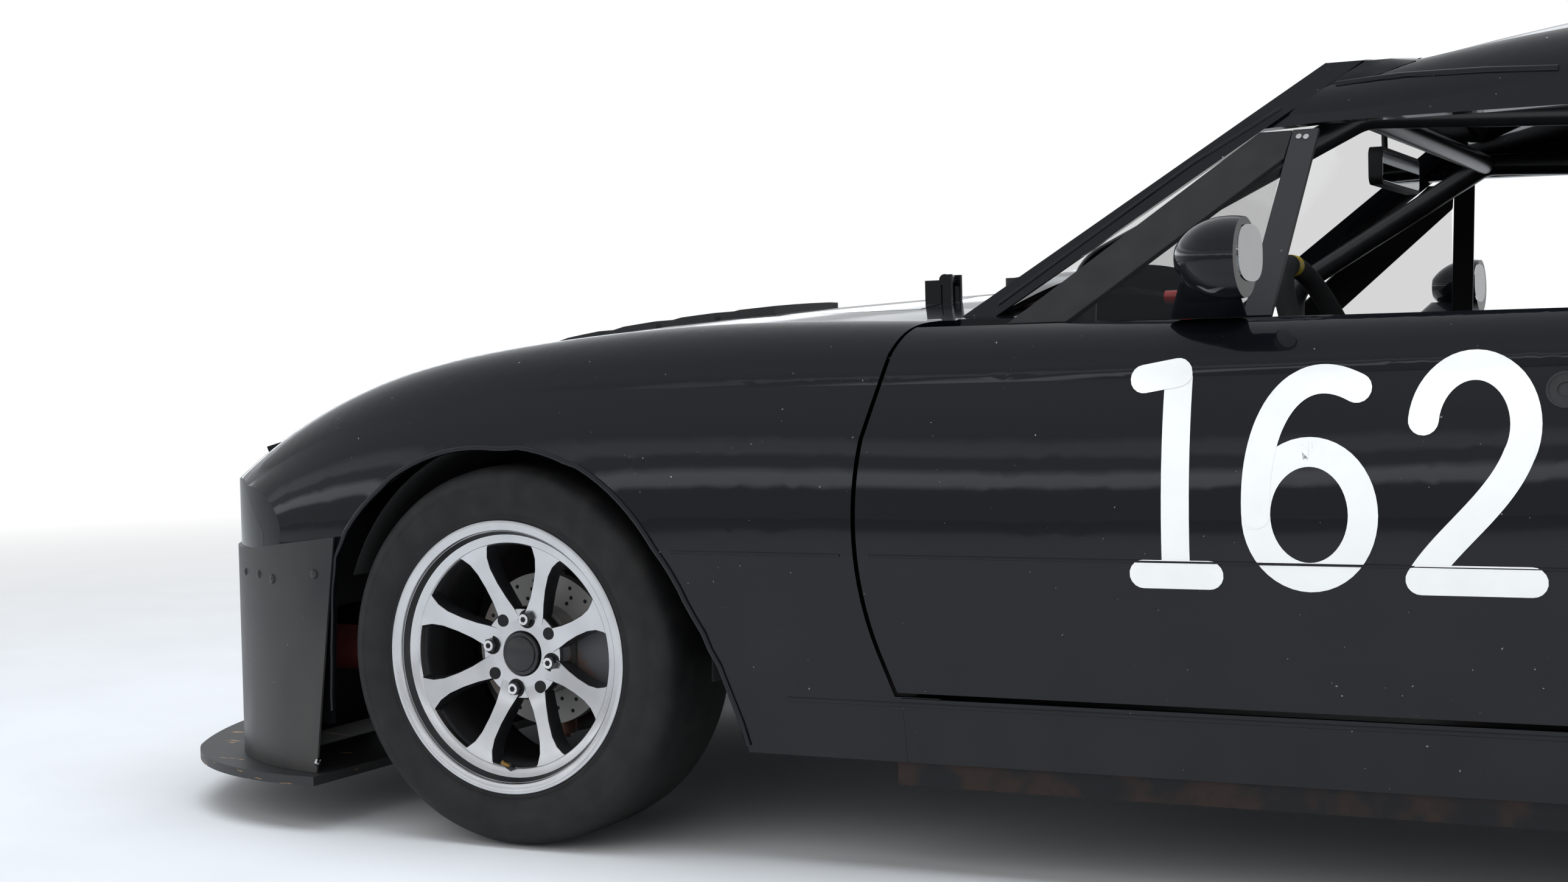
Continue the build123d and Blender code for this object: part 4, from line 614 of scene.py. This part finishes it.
def arch_edge(node, centre, hand):
    """Points along the rim of a wheel arch, each found on a line out from the hub."""
    edge = []
    for degrees in ARCH_TURNS:
        turn = math.radians(degrees)
        found = None
        radius = SEARCH_FROM
        while radius < SEARCH_TO and found is None:
            x, z = centre.x + radius * math.cos(turn), centre.z + radius * math.sin(turn)
            found = side_place(node, x, z, hand)
            radius += SEARCH_STEP
        if found is not None and (radius < ARCH_LEAST_R or abs(found.y) < ARCH_LEAST_Y):
            found = None
        edge.append(found)
    return edge


for side, hand in HANDS:
    for panel, axle in (("fender", "front"), ("quarter", "rear")):
        edge = arch_edge(f"{panel}_{side}", WHEEL_CENTRE[f"{axle}_{side}"], hand)
        laid_bead(f"arch_lip_{axle}_{side}", runs(edge), ARCH_LIP_R)


PIXEL_STEPS = 10
TRIM_SINK, TRIM_LEAST_Y = 0.0006, 0.3


def pixel_row(node, corners):
    """Points sunk a little into a panel along a line of pixels of the photograph."""
    row = []
    for first, last in zip(corners, corners[1:]):
        for k in range(PIXEL_STEPS):
            across, down = [a + (b - a) * k / PIXEL_STEPS for a, b in zip(first, last)]
            where, normal = on_panel(node, CAMERA_AT, pixel_direction(across, down))
            row.append(None if where is None or where.y < TRIM_LEAST_Y else where - normal * TRIM_SINK)
    return row


TRIM_LINES = [
    # name, node, pixels across and down, radius
    ("roof_gutter", "hard_top", [(2196, 138), (2300, 124), (2440, 115), (2574, 111)], 0.0050),
    ("pillar_seam", "windscreen_frame", [(1640, 500), (1780, 398), (1960, 268), (2120, 168)], 0.0030),
]
for name, node, pixels, radius in TRIM_LINES:
    stretches = list(runs(pixel_row(node, pixels)))
    for side, hand in HANDS:
        rows = [[on_side(point, hand) for point in stretch] for stretch in stretches]
        laid_bead(f"{name}_{side}", rows, radius)

# The seal that leads the header's rear edge down onto the hard top, across the car
SEAL_LENGTH = 0.070
SEAL_HALF_WIDTH = 0.550
SEAL_ENDS = (0.560, 0.568)
SEAL_SINK, SEAL_RISE, SEAL_FOOT = Vector((0, 0, 0.0008)), 0.0018, 0.004
HEADER_LEAST_Z = 1.0
HEADER_SEARCH = (0.0, -0.110, 0.002)
DOWN = (0, 0, -1)


def header_edge(y):
    """Where the header's top ends rearward at y."""
    edge = None
    for x in spaced(*HEADER_SEARCH):
        where, _ = on_panel("windscreen_frame", (x, y, OUTSIDE), DOWN)
        if where is not None and where.z > HEADER_LEAST_Z:
            edge = where
    return edge


def header_seal():
    """A thin wedge between the header and the hard top, in rows across the car."""
    mesh = bmesh.new()
    rows = []
    for y in [-SEAL_ENDS[1], -SEAL_ENDS[0], *spaced(-SEAL_HALF_WIDTH, SEAL_HALF_WIDTH, 0.025), *SEAL_ENDS]:
        edge = header_edge(y)
        tail, _ = on_panel("hard_top", (edge.x - SEAL_LENGTH, y, OUTSIDE), DOWN)
        foot, _ = on_panel("hard_top", (edge.x - SEAL_FOOT, y, OUTSIDE), DOWN)
        crown = Vector((edge.x - SEAL_LENGTH * 0.5, y, (edge.z + tail.z) / 2 + SEAL_RISE))
        section = (edge - SEAL_SINK, crown, tail + SEAL_SINK, foot - SEAL_SINK)
        rows.append([mesh.verts.new(point) for point in section])
    for near, far in zip(rows, rows[1:]):
        bridge(mesh, near, far)
    mesh.faces.new(rows[0])
    mesh.faces.new(rows[-1][::-1])
    finish_mesh(mesh, "header_seal", "root", "black_paint", smooth=40.0)


header_seal()

SILL_Z, SILL_RIDGE_R, SILL_SINK, SILL_LEAST_Y = 0.2475, 0.0038, 0.0012, 0.6
SILL_FROM, SILL_TO = ahead(-470), ahead(-1720)
for side, hand in HANDS:
    row = []
    for x in spaced(SILL_FROM, SILL_TO, 0.03):
        hits = [side_hit(node, x, SILL_Z, hand) for node in (f"fender_{side}", f"quarter_{side}", "body_tub")]
        hits = [hit for hit in hits if hit[0] is not None and hit[0].y * hand >= SILL_LEAST_Y]
        where, normal = max(hits, key=lambda hit: hit[0].y * hand, default=(None, None))
        row.append(None if where is None else where - normal * SILL_SINK)
    laid_bead(f"sill_ridge_{side}", runs(row), SILL_RIDGE_R)


# Near-black sheets of painted shade: liners between the air dam and the wheels, darker than their plastic, and a
# cover over each wheel where its wheel well lies in shade
SHEET_THICKNESS = 0.002
LINER = [
    # x from the front axle, y, z along one bent strip; the second row is its inner edge
    [(362, 0.775, 0.545), (372, 0.780, 0.470), (388, 0.780, 0.400), (398, 0.776, 0.345)],
    [(372, 0.400, 0.560), (392, 0.400, 0.480), (412, 0.400, 0.400), (420, 0.400, 0.345)],
]
LOW_LINER = [
    [(545, 0.640, 0.345), (548, 0.640, 0.240), (550, 0.640, 0.110)],
    [(560, 0.380, 0.345), (562, 0.380, 0.240), (564, 0.380, 0.110)],
]
SHADED_WHEEL_WELLS = [
    # axle, radius, inner and outer edge from the middle of the car, first and last angle
    ("front", 0.332, 0.560, 0.775, 20, 185), ("rear", 0.322, 0.530, 0.795, 10, 170),
]


def sheet(name, rows, hand):
    """A bent sheet between two rows of points, in the near-black finish of painted shade."""
    mesh = bmesh.new()
    grid = []
    for share in spaced(0.0, 1.0, 0.25):
        blend = [[a + (b - a) * share for a, b in zip(outer, inner)] for outer, inner in zip(*rows)]
        grid.append([mesh.verts.new((ahead(x), hand * y, z)) for x, y, z in blend])
    for near, far in zip(grid, grid[1:]):
        bridge(mesh, near, far, closed=False)
    piece = finish_mesh(mesh, name, "root", "black_plastic", BLACK_AND_PAINTED_SHADE, 60.0)
    thicken = piece.modifiers.new("sheet", "SOLIDIFY")
    thicken.thickness = SHEET_THICKNESS
    thicken.offset = 0.0


for side, hand in HANDS:
    sheet(f"arch_liner_{side}", LINER, hand)
    sheet(f"duct_liner_{side}", LOW_LINER, hand)
for side, hand in HANDS:
    for axle, radius, inner, outer, first, last in SHADED_WHEEL_WELLS:
        hub = WHEEL_CENTRE[f"{axle}_{side}"]
        arch = [math.radians(degrees) for degrees in spaced(first, last, 5)]
        rows = [[((hub.x - FRONT_AXLE_X + radius * math.cos(t)) / MM, y, hub.z + radius * math.sin(t))
                 for t in arch] for y in (inner, outer)]
        sheet(f"wheel_well_shade_{axle}_{side}", rows, hand)


# Race number: plain strokes laid on each door
def arc(centre, radii, start, end, count=28):
    """Points along an ellipse."""
    turns = [math.radians(start + (end - start) * k / count) for k in range(count + 1)]
    return [(centre[0] + radii[0] * math.cos(t), centre[1] + radii[1] * math.sin(t)) for t in turns]


def curve(first, second, third, last, count=28):
    """Points along a cubic curve."""
    points = []
    for k in range(count + 1):
        t = k / count
        weights = ((1 - t) ** 3, 3 * t * (1 - t) ** 2, 3 * t * t * (1 - t), t ** 3)
        points.append([sum(w * value for w, value in zip(weights, values))
                       for values in zip(first, second, third, last)])
    return points


def line(first, last):
    """Points along a straight stroke."""
    return curve(first, first, last, last, 12)


DIGIT_ONE = [line((0.5, 0.03), (0.5, 0.97)), line((0.12, 0.0), (0.88, 0.0)), line((0.10, 0.96), (0.5, 0.99))]
DIGIT_SIX = [arc((0.5, 0.30), (0.42, 0.30), 90, 450, 48),
             curve((0.08, 0.30), (0.05, 0.80), (0.40, 1.06), (0.86, 0.90))]
DIGIT_TWO = [arc((0.5, 0.72), (0.38, 0.28), 175, -28),
             curve((0.835, 0.59), (0.70, 0.36), (0.30, 0.20), (0.10, 0.0)), line((0.10, 0.0), (0.92, 0.0))]
NUMBER = [
    # strokes, place and width along the number
    (DIGIT_ONE, 0.0, 0.115), (DIGIT_SIX, 0.150, 0.160), (DIGIT_TWO, 0.350, 0.160),
]
NUMBER_START, NUMBER_FOOT, NUMBER_HEIGHT, NUMBER_WIDTH = ahead(-990), 0.439, 0.262, 0.510
STROKE_HALF = 0.0185
STROKE_LIFT, LAYER_LIFT = 0.0010, 0.0003
ROUNDING = (0.3, 0.6, 0.85, 0.98)


def round_end(end, outward, along):
    """The narrowing rows past the end of a stroke: middle, direction and half width."""
    reach = outward.normalized() * STROKE_HALF
    return [(end + reach * share, along, STROKE_HALF * math.sqrt(1 - share * share)) for share in ROUNDING]


def add_stroke(mesh, points, node, hand, lift):
    """A round-ended stroke laid on a door; points are (x, z) in metres."""
    points = [Vector(point) for point in points]
    first, last = points[0] - points[1], points[-1] - points[-2]
    places = round_end(points[0], first, -first)[::-1]
    places += [(point, points[min(k + 1, len(points) - 1)] - points[max(k - 1, 0)], STROKE_HALF)
               for k, point in enumerate(points)]
    places += round_end(points[-1], last, last)
    rows = []
    for centre, along, half in places:
        across = Vector((-along.y, along.x)).normalized() * half
        row = []
        for share in (-1.0, -0.5, 0.0, 0.5, 1.0):
            spot = centre + across * share
            place = side_place(node, spot.x, spot.y, hand, lift)
            row.append(None if place is None else mesh.verts.new(place))
        rows.append(row)
    for near, far in zip(rows, rows[1:]):
        bridge(mesh, near, far, closed=False)


for side, hand in HANDS:
    mesh = bmesh.new()
    for strokes, offset, width in NUMBER:
        for layer, stroke in enumerate(strokes):
            points = []
            for u, v in stroke:
                across = offset + u * width if hand > 0 else NUMBER_WIDTH - offset - u * width
                points.append((NUMBER_START - across, NUMBER_FOOT + v * NUMBER_HEIGHT))
            add_stroke(mesh, points, f"door_{side}", hand, STROKE_LIFT + LAYER_LIFT * layer)
    finish_mesh(mesh, f"race_number_{side}", f"door_{side}", "black_paint", WHITE_FILM, 60.0)


# Door lock and flush handle
def turned_onto(place, normal):
    """A matrix that turns the Y axis of a lathe onto a panel's normal."""
    y = Vector(normal).normalized()
    x = Vector((0, 0, 1)).cross(y).normalized()
    return place_matrix(x, y, x.cross(y), place)


LOCK_AT, HANDLE_AT = (ahead(-1525), 0.669), (ahead(-1605), 0.672)
LOCK_RING = [
    (0.0, 0.0005), (0.0085, 0.0005), (0.0095, 0.0022), (0.0125, 0.0012), (0.0185, 0.0012),
    (0.0205, 0.0030), (0.0225, 0.0026), (0.0235, -0.004), (0.0, -0.004),
]
HANDLE_HALF_W, HANDLE_HALF_H = 0.031, 0.008
HANDLE_DEPTH, HANDLE_SINK = 0.006, 0.002
# One rounded end of the handle, in shares of its half height: how high, and how far out
HANDLE_END = [(-1, 0), (-0.5, 0.7), (0.5, 0.7), (1, 0)]
HANDLE = [(end * (HANDLE_HALF_W + out * HANDLE_HALF_H), end * up * HANDLE_HALF_H)
          for end in (1, -1) for up, out in HANDLE_END]
for side, hand in HANDS:
    door = f"door_{side}"
    spot, normal = side_hit(door, *LOCK_AT, hand)
    mesh = bmesh.new()
    add_lathe(mesh, LOCK_RING, 40, turned_onto(spot, normal))
    finish_mesh(mesh, f"door_lock_{side}", door, "black_plastic")
    spot, normal = side_hit(door, *HANDLE_AT, hand)
    mesh = bmesh.new()
    add_prism(mesh, HANDLE, HANDLE_DEPTH, facing(spot - normal * HANDLE_SINK, normal))
    finish_mesh(mesh, f"door_handle_{side}", door, "black_plastic", smooth=40.0, bevel=0.0015)

# Bolts: the air dam's fixings, at their places in the photograph, and their mirror images
BOLTS = [
    # node, pixels across and down, radius, height, finish
    ("air_dam", 404, 939, 0.0065, 0.0035, SPOKE_BLACK), ("air_dam", 425, 943, 0.0065, 0.0035, SPOKE_BLACK),
    ("air_dam", 448, 951, 0.0075, 0.0040, SPOKE_BLACK), ("air_dam", 516, 943, 0.0075, 0.0040, SPOKE_BLACK),
    ("air_dam", 522, 1252, 0.0065, 0.0035, CHROME), ("splitter", 405, 1188, 0.0065, 0.0035, CHROME),
]
for number, (node, across, down, radius, rise, finish) in enumerate(BOLTS):
    spot, normal = on_panel(node, CAMERA_AT, pixel_direction(across, down))
    dome = [(0.0, -0.001), (radius, -0.001), (radius, 0.0006), (radius * 0.86, rise * 0.6),
            (radius * 0.5, rise * 0.93), (0.0, rise)]
    for side, hand in HANDS:
        mesh = bmesh.new()
        add_lathe(mesh, dome, 20, turned_onto(on_side(spot, hand), on_side(normal, hand)))
        finish_mesh(mesh, f"fixing_{number}_{side}", "root", "grey_steel", finish)


# Side panes: glass, the flat riveted strap behind it, and the black frame ahead of it. The left one's
# plane goes through three points, and outlines in it are x from the front axle and z, in millimetres.
PANE_FRONT = Vector((ahead(-838), 0.727, 0.7683))
PANE_REAR = Vector((ahead(-1119), 0.740, 0.7683))
PANE_TOP = Vector((ahead(-1139), 0.604, 1.004))
PANE_NORMAL = (PANE_REAR - PANE_FRONT).cross(PANE_TOP - PANE_FRONT).normalized()
PANE_OUTLINE = [(-840, 768.3), (-1118, 768.3), (-1141, 1003), (-1138.5, 1003)]
STRAP_OUTLINE = [(-1114.5, 768.3), (-1152.5, 768.3), (-1184.3, 1020.5), (-1148.3, 1020.5)]
FRAME_OUTLINE = [(-780, 768.3), (-868, 768.3), (-1141, 981), (-1147.5, 1020.5), (-1102, 1020.5)]
STRAP_RIVETS = [(-1158, 1010), (-1168, 1009)]
STRAP_FACE = 0.0035
RIVET = [(0.0, -0.001), (0.0042, -0.001), (0.0040, 0.0012), (0.0022, 0.0022), (0.0, 0.0024)]


def pane_point(x, z, lift):
    """A point in the left pane's plane, raised along its normal."""
    x, z = ahead(x), z * MM
    away = PANE_NORMAL.x * (x - PANE_FRONT.x) + PANE_NORMAL.z * (z - PANE_FRONT.z)
    return Vector((x, PANE_FRONT.y - away / PANE_NORMAL.y, z)) + PANE_NORMAL * lift


def pane_piece(name, outline, low, high, slot, side, hand, material=None, bevel=0.0):
    """A plate in the pane's plane, between two levels."""
    mesh = bmesh.new()
    near, far = [[mesh.verts.new(pane_point(x, z, level)) for x, z in outline] for level in (low, high)]
    mesh.faces.new(near)
    mesh.faces.new(far[::-1])
    bridge(mesh, far, near)
    bmesh.ops.transform(mesh, matrix=Matrix.Diagonal((1, hand, 1, 1)), verts=mesh.verts)
    return finish_mesh(mesh, f"{name}_{side}", f"door_{side}", slot, material, 30.0, bevel)


for side, hand in HANDS:
    pane = pane_piece("side_pane", PANE_OUTLINE, -0.0018, 0.0018, "clear_glass", side, hand)
    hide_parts(f"door_pane_{side}")
    pane_piece("pane_strap", STRAP_OUTLINE, -STRAP_FACE, STRAP_FACE, "satin_sheet", side, hand, bevel=0.0008)
    pane_piece("pane_frame", FRAME_OUTLINE, -0.0060, 0.0030, "black_plastic", side, hand, SEAL_RUBBER, 0.0012)
    for number, (x, z) in enumerate(STRAP_RIVETS):
        spot = on_side(pane_point(x, z, STRAP_FACE), hand)
        mesh = bmesh.new()
        add_lathe(mesh, RIVET, 16, turned_onto(spot, on_side(PANE_NORMAL, hand)))
        finish_mesh(mesh, f"strap_rivet_{number}_{side}", f"door_{side}", "grey_steel", CHROME)


# Mirrors
def bowed(share):
    """A share of an ellipse's half width, pushed out towards a rounded rectangle."""
    return share * abs(share) ** -0.25 if abs(share) > 1e-6 else 0.0


MIRROR_GLASS = [(0.058 * bowed(math.cos(t)), 0.036 * bowed(math.sin(t))) for t in around(48)]
MIRROR_GLASS_HEIGHT = 0.63
MIRROR_GLASS_OUT = 0.004


for side, hand in HANDS:
    low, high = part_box(f"mirror_{side}")
    across = (low.y + high.y) / 2 + hand * MIRROR_GLASS_OUT
    level = low.z + (high.z - low.z) * MIRROR_GLASS_HEIGHT
    spot, normal = on_panel(f"mirror_{side}", (low.x - 0.2, across, level), (1, 0, 0))
    mesh = bmesh.new()
    add_prism(mesh, MIRROR_GLASS, 0.0012, facing(spot + normal * 0.0002, normal))
    finish_mesh(mesh, f"mirror_glass_{side}", f"door_{side}", "clear_glass", SILVERED)


def rounded_box(half_w, half_h, corner, steps=6):
    """The outline of a rectangle with round corners."""
    points = []
    for quarter, (u, v) in enumerate(((1, 1), (-1, 1), (-1, -1), (1, -1))):
        for k in range(steps + 1):
            t = math.pi / 2 * (quarter + k / steps)
            points.append((u * (half_w - corner) + corner * math.cos(t),
                           v * (half_h - corner) + corner * math.sin(t)))
    return points


CABIN_SHELL, CABIN_GLASS = rounded_box(0.148, 0.029, 0.014), rounded_box(0.141, 0.023, 0.010)


def inside_mirror():
    """The mirror at the header: its shell, its glass to the rear and its stem."""
    low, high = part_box("interior_mirror")
    middle = low.z + 0.030
    mesh = bmesh.new()
    add_prism(mesh, CABIN_SHELL, 0.020, facing((low.x + 0.004, 0.0, middle), (1, 0, 0)))
    add_prism(mesh, CABIN_GLASS, 0.001, facing((low.x + 0.0042, 0.0, middle), (-1, 0, 0)), 1)
    add_tube(mesh, [(high.x - 0.002, 0, low.z + 0.05), (high.x - 0.001, 0, high.z - 0.002)], 0.0048, 14)
    finishes = (MATERIALS["black_plastic"], SILVERED)
    cabin_mirror = finish_mesh(mesh, "cabin_mirror", "root", "black_plastic", finishes, 35.0, 0.003)
    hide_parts("interior_mirror")


inside_mirror()

# Steering wheel: the marker at its top, and the button at its hub
STEER_AXIS = Vector(JOINTS["steering_wheel_turn"]["axis"]).normalized()
GRIP_R, MARKER_R = 0.160, 0.0156
WHEEL_HUB = Vector((ahead(-1147), 0.370, 0.700))
HUB_PAD = [(0.0, 0.0), (0.030, 0.0), (0.030, 0.010), (0.026, 0.015), (0.0, 0.017)]
PAD_SCREW_R, PAD_SCREW_LEVEL = 0.024, 0.0135


def steering_marks():
    """A marker band round the grip, and a hub pad with its screws."""
    side_axis = Vector((0, 1, 0))
    top_axis = side_axis.cross(STEER_AXIS).normalized()
    mesh = bmesh.new()
    rows = []
    for degrees in range(-5, 6, 2):
        turn = math.radians(degrees)
        outward = top_axis * math.cos(turn) + side_axis * math.sin(turn)
        centre = WHEEL_HUB + outward * GRIP_R
        rows.append([mesh.verts.new(centre + (outward * math.cos(t) + STEER_AXIS * math.sin(t)) * MARKER_R)
                     for t in around(24)])
    for near, far in zip(rows, rows[1:]):
        bridge(mesh, near, far)
    finish_mesh(mesh, "grip_marker", "steering_wheel", "suede", YELLOW, 60.0)
    mesh = bmesh.new()
    place = turned_onto(WHEEL_HUB, STEER_AXIS)
    add_lathe(mesh, HUB_PAD, 40, place)
    for t in around(6):
        screw = (PAD_SCREW_R * math.cos(t), PAD_SCREW_LEVEL, PAD_SCREW_R * math.sin(t))
        add_prism(mesh, disc_outline(0.0035, 12), 0.0035, place @ place_matrix(*OUTWARD_AXES, screw), 1)
    finishes = (MATERIALS["black_plastic"], CHROME)
    finish_mesh(mesh, "hub_pad", "steering_wheel", "black_plastic", finishes)


steering_marks()

# Dashboard: three plain dials behind the wheel, and the red pull handle
DIAL_X, DIAL_Z = ahead(-1300), 0.728
DIALS = [(0.300, 0.034), (0.370, 0.046), (0.440, 0.034)]
PULL_X, PULL_Y = ahead(-850), 0.10


def dial(number, y, radius):
    """A dial on the driver's side: bezel, face, marks and hand."""
    spot, normal = on_panel("dashboard", (DIAL_X, y, DIAL_Z), (1, 0, 0))
    place = turned_onto(spot, normal)
    bezel = [(0.86, -0.002), (1.0, -0.002), (1.0, 0.007), (0.93, 0.009), (0.86, 0.006)]
    face = [(0.0, -0.001), (0.88, -0.001), (0.88, 0.001), (0.0, 0.001)]
    mesh = bmesh.new()
    for index, profile in enumerate((bezel, face)):
        add_lathe(mesh, [(radius * share, level) for share, level in profile], 40, place, index)
    for mark in range(11):
        turn = math.radians(-45 + 27 * mark)
        centre = place @ Vector((radius * 0.74 * math.cos(turn), 0.0012, radius * 0.74 * math.sin(turn)))
        add_prism(mesh, disc_outline(0.0016, 8), 0.0004, facing(centre, normal), 2)
    pointer = [place @ Vector((0, 0.003, 0)), place @ Vector((radius * 0.6, 0.003, radius * 0.2))]
    add_tube(mesh, pointer, 0.0010, 8, 3)
    finishes = (CHROME, BLACK_AND_PAINTED_SHADE, WHITE_FILM, MATERIALS["lamp_red"])
    finish_mesh(mesh, f"dial_{number}", "root", "black_plastic", finishes)


def pull_handle():
    """The pull handle on the dashboard: a short stem with a bar along the car on it."""
    spot, _ = on_panel("dashboard", (PULL_X, PULL_Y, 1.0), DOWN)
    mesh = bmesh.new()
    add_tube(mesh, [spot + Vector((0, 0, level)) for level in (-0.004, 0.040)], 0.009, 16)
    add_tube(mesh, [spot + Vector((along, 0, 0.048)) for along in (-0.036, -0.012, 0.012, 0.036)], 0.011, 16)
    finish_mesh(mesh, "pull_handle", "root", "lamp_red", smooth=40.0, bevel=0.001)


for number, (y, radius) in enumerate(DIALS):
    dial(number, y, radius)
pull_handle()

# Headlamps: a domed lens in a bright ring on each pod, seen once the pod is lifted
LAMP_Y = 0.554
LAMP_OUT = Vector((math.cos(math.radians(-60)), 0, math.sin(math.radians(-60))))
LAMP_RING = [(0.046, -0.002), (0.0535, -0.002), (0.0535, 0.0035), (0.049, 0.0050), (0.046, 0.003)]
LAMP_DOME = [(0.0, 0.0002), (0.047, 0.0002), (0.047, 0.0012), (0.030, 0.0044), (0.0, 0.0055)]
for side, hand in HANDS:
    pivot = Vector(JOINTS[f"headlamp_{side}_lift"]["pos_m"])
    start = Vector((pivot.x, hand * LAMP_Y, pivot.z)) + LAMP_OUT * 0.5
    spot, _ = on_panel(f"headlamp_{side}", start, -LAMP_OUT)
    mesh = bmesh.new()
    for index, profile in enumerate((LAMP_RING, LAMP_DOME)):
        add_lathe(mesh, profile, 48, turned_onto(spot, LAMP_OUT), index)
    finish_mesh(mesh, f"lamp_lens_{side}", f"headlamp_{side}", "clear_glass", (CHROME, LENS))

# Driver's seat: a padded bucket with sewn channels
SEAT_VOXEL = 0.010
SEAT_MIDDLE_Y, CHANNEL_HALF_WIDTH = 0.370, 0.135
CUSHION_TOP_Z = 0.36
CHANNEL_PITCH, CHANNEL_DEPTH = 0.075, 0.007


def padded_seat():
    """The seat's foam: the CAD form rounded off, with channels sewn across its cushion and back."""
    rough = add_object("seat rough", frame["nodes"]["driver_seat"].data.copy())
    remesh = rough.modifiers.new("remesh", "REMESH")
    remesh.mode = "VOXEL"
    remesh.voxel_size = SEAT_VOXEL
    soften = rough.modifiers.new("soften", "SMOOTH")
    soften.factor = 0.5
    soften.iterations = 10
    graph = bpy.context.evaluated_depsgraph_get()
    data = bpy.data.meshes.new_from_object(rough.evaluated_get(graph))
    bpy.data.objects.remove(rough)
    for vertex in data.vertices:
        share = abs(vertex.co.y - SEAT_MIDDLE_Y) / CHANNEL_HALF_WIDTH
        if share > 1 or (vertex.normal.x < 0.3 and vertex.normal.z < 0.5):
            continue
        along = vertex.co.z if vertex.co.z > CUSHION_TOP_Z else -vertex.co.x
        wave = 0.5 + 0.5 * math.cos(2 * math.pi * along / CHANNEL_PITCH)
        vertex.co -= vertex.normal * CHANNEL_DEPTH * wave ** 6 * (1 - share ** 4)
    seat = add_object("seat_padding", data)
    data.materials.clear()
    data.materials.append(MATERIALS["seat_cloth"])
    for polygon in data.polygons:
        polygon.use_smooth = True
    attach(seat, "root")
    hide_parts("driver_seat")


padded_seat()

# Studio: a pale floor, a white backdrop and soft lights
FLOOR_HALF = 20.0
FLOOR_TONES = (0.58, 0.58, 0.58), (0.66, 0.66, 0.66)
FLOOR_FADE = 3.2, 9.0
WORLD_STRENGTH = 3.0
WORLD_LOW = [(0.0, (0.045, 0.045, 0.047)), (0.07, (0.033, 0.035, 0.039))]
WORLD_BANDS = [
    # height of the direction, brightness; the two bright bands give the paint its streaks
    (0.095, 0.06), (0.115, 0.90), (0.150, 1.00), (0.180, 0.11), (0.215, 0.10), (0.235, 0.42), (0.270, 0.38),
    (0.300, 0.12), (0.450, 0.18), (0.700, 0.14), (1.0, 0.17),
]
SKY_TINT = (0.88, 0.94, 1.0)
BACKDROP_IN_GLOSS = 0.4
WHITE = (1.0, 1.0, 1.0)
LIGHTS = [
    # name, place, target, width, length, power, colour
    ("sky", (0.0, 1.0, 6.0), (0.0, 0.0, 0.5), 9.0, 5.0, 520.0, (0.86, 0.92, 1.0)),
    ("side", (1.5, 6.0, 3.6), (0.5, 0.0, 0.5), 9.0, 4.5, 190.0, WHITE),
    ("far", (1.0, -6.0, 3.0), (0.0, 0.0, 0.6), 6.0, 2.0, 150.0, WHITE),
]


def area_light(name, place, target, width, length, power, colour):
    """A soft rectangular light aimed at a place, and not mirrored in the car."""
    data = bpy.data.lights.new(name, "AREA")
    data.shape = "RECTANGLE"
    data.size, data.size_y = width, length
    data.energy = power
    data.color = colour
    light = add_object(name, data)
    light.location = place
    light.visible_glossy = False
    light.rotation_euler = (Vector(target) - Vector(place)).to_track_quat("-Z", "Y").to_euler()


def mixed_surface(tree, factor, first, second, output):
    """Two shaders mixed by a factor, as the surface of an output."""
    mix = add_node(tree, "MixShader", {0: factor, 1: first, 2: second})["Shader"]
    feed(tree.nodes[output], {"Surface": mix})


def floor_material():
    """A pale floor that keeps the shadow and fades into the white backdrop further out."""
    material, tree, shader = new_material("studio floor")
    feed(shader, {"Base Color": mixed_colour(tree, noise(tree, 3.0, 6.0), *FLOOR_TONES), "Roughness": 0.8,
                  "Normal": bump(tree, noise(tree, 220.0, 4.0), 0.15, 0.001)})
    white = add_node(tree, "Emission", {"Strength": 1.0})["Emission"]
    place = add_node(tree, "TexCoord", {})["Object"]
    reach = add_node(tree, "VectorMath", {0: place}, operation="LENGTH")["Value"]
    seen = add_node(tree, "LightPath", {})["Is Camera Ray"]
    faded = product(tree, ramp(tree, reach, *FLOOR_FADE), seen)
    mixed_surface(tree, faded, shader.outputs["BSDF"], white, "Material Output")
    return material


def studio_floor():
    """The floor under the car."""
    mesh = bmesh.new()
    bmesh.ops.create_grid(mesh, x_segments=2, y_segments=2, size=FLOOR_HALF)
    data = bpy.data.meshes.new("floor")
    mesh.to_mesh(data)
    mesh.free()
    data.materials.append(floor_material())
    floor = add_object("floor", data)


def studio_world():
    """A dark world with bright bands, behind a white backdrop."""
    world = bpy.data.worlds.new("studio")
    world.use_nodes = True
    bpy.context.scene.world = world
    tree = world.node_tree
    bands = tree.nodes.new("ShaderNodeValToRGB")
    feed(bands, {"Fac": height(tree, "Generated")})
    stops = bands.color_ramp.elements
    for stop, (position, colour) in zip(stops, WORLD_LOW):
        stop.position, stop.color = position, (*colour, 1.0)
    for position, brightness in WORLD_BANDS:
        stops.new(position).color = (*[brightness * channel for channel in SKY_TINT], 1.0)
    banded = tree.nodes["Background"]
    feed(banded, {"Color": bands.outputs["Color"], "Strength": WORLD_STRENGTH})
    white = add_node(tree, "Background", {"Color": (*WHITE, 1.0)})["Background"]
    rays = add_node(tree, "LightPath", {})
    direct = calculated(tree, "MAXIMUM", rays["Is Camera Ray"], rays["Is Transmission Ray"])
    gloss = product(tree, rays["Is Glossy Ray"], BACKDROP_IN_GLOSS)
    seen = calculated(tree, "MAXIMUM", direct, gloss)
    mixed_surface(tree, seen, banded.outputs["Background"], white, "World Output")


studio_floor()
studio_world()
for light in LIGHTS:
    area_light(*light)
bpy.context.scene.view_settings.view_transform = "Standard"
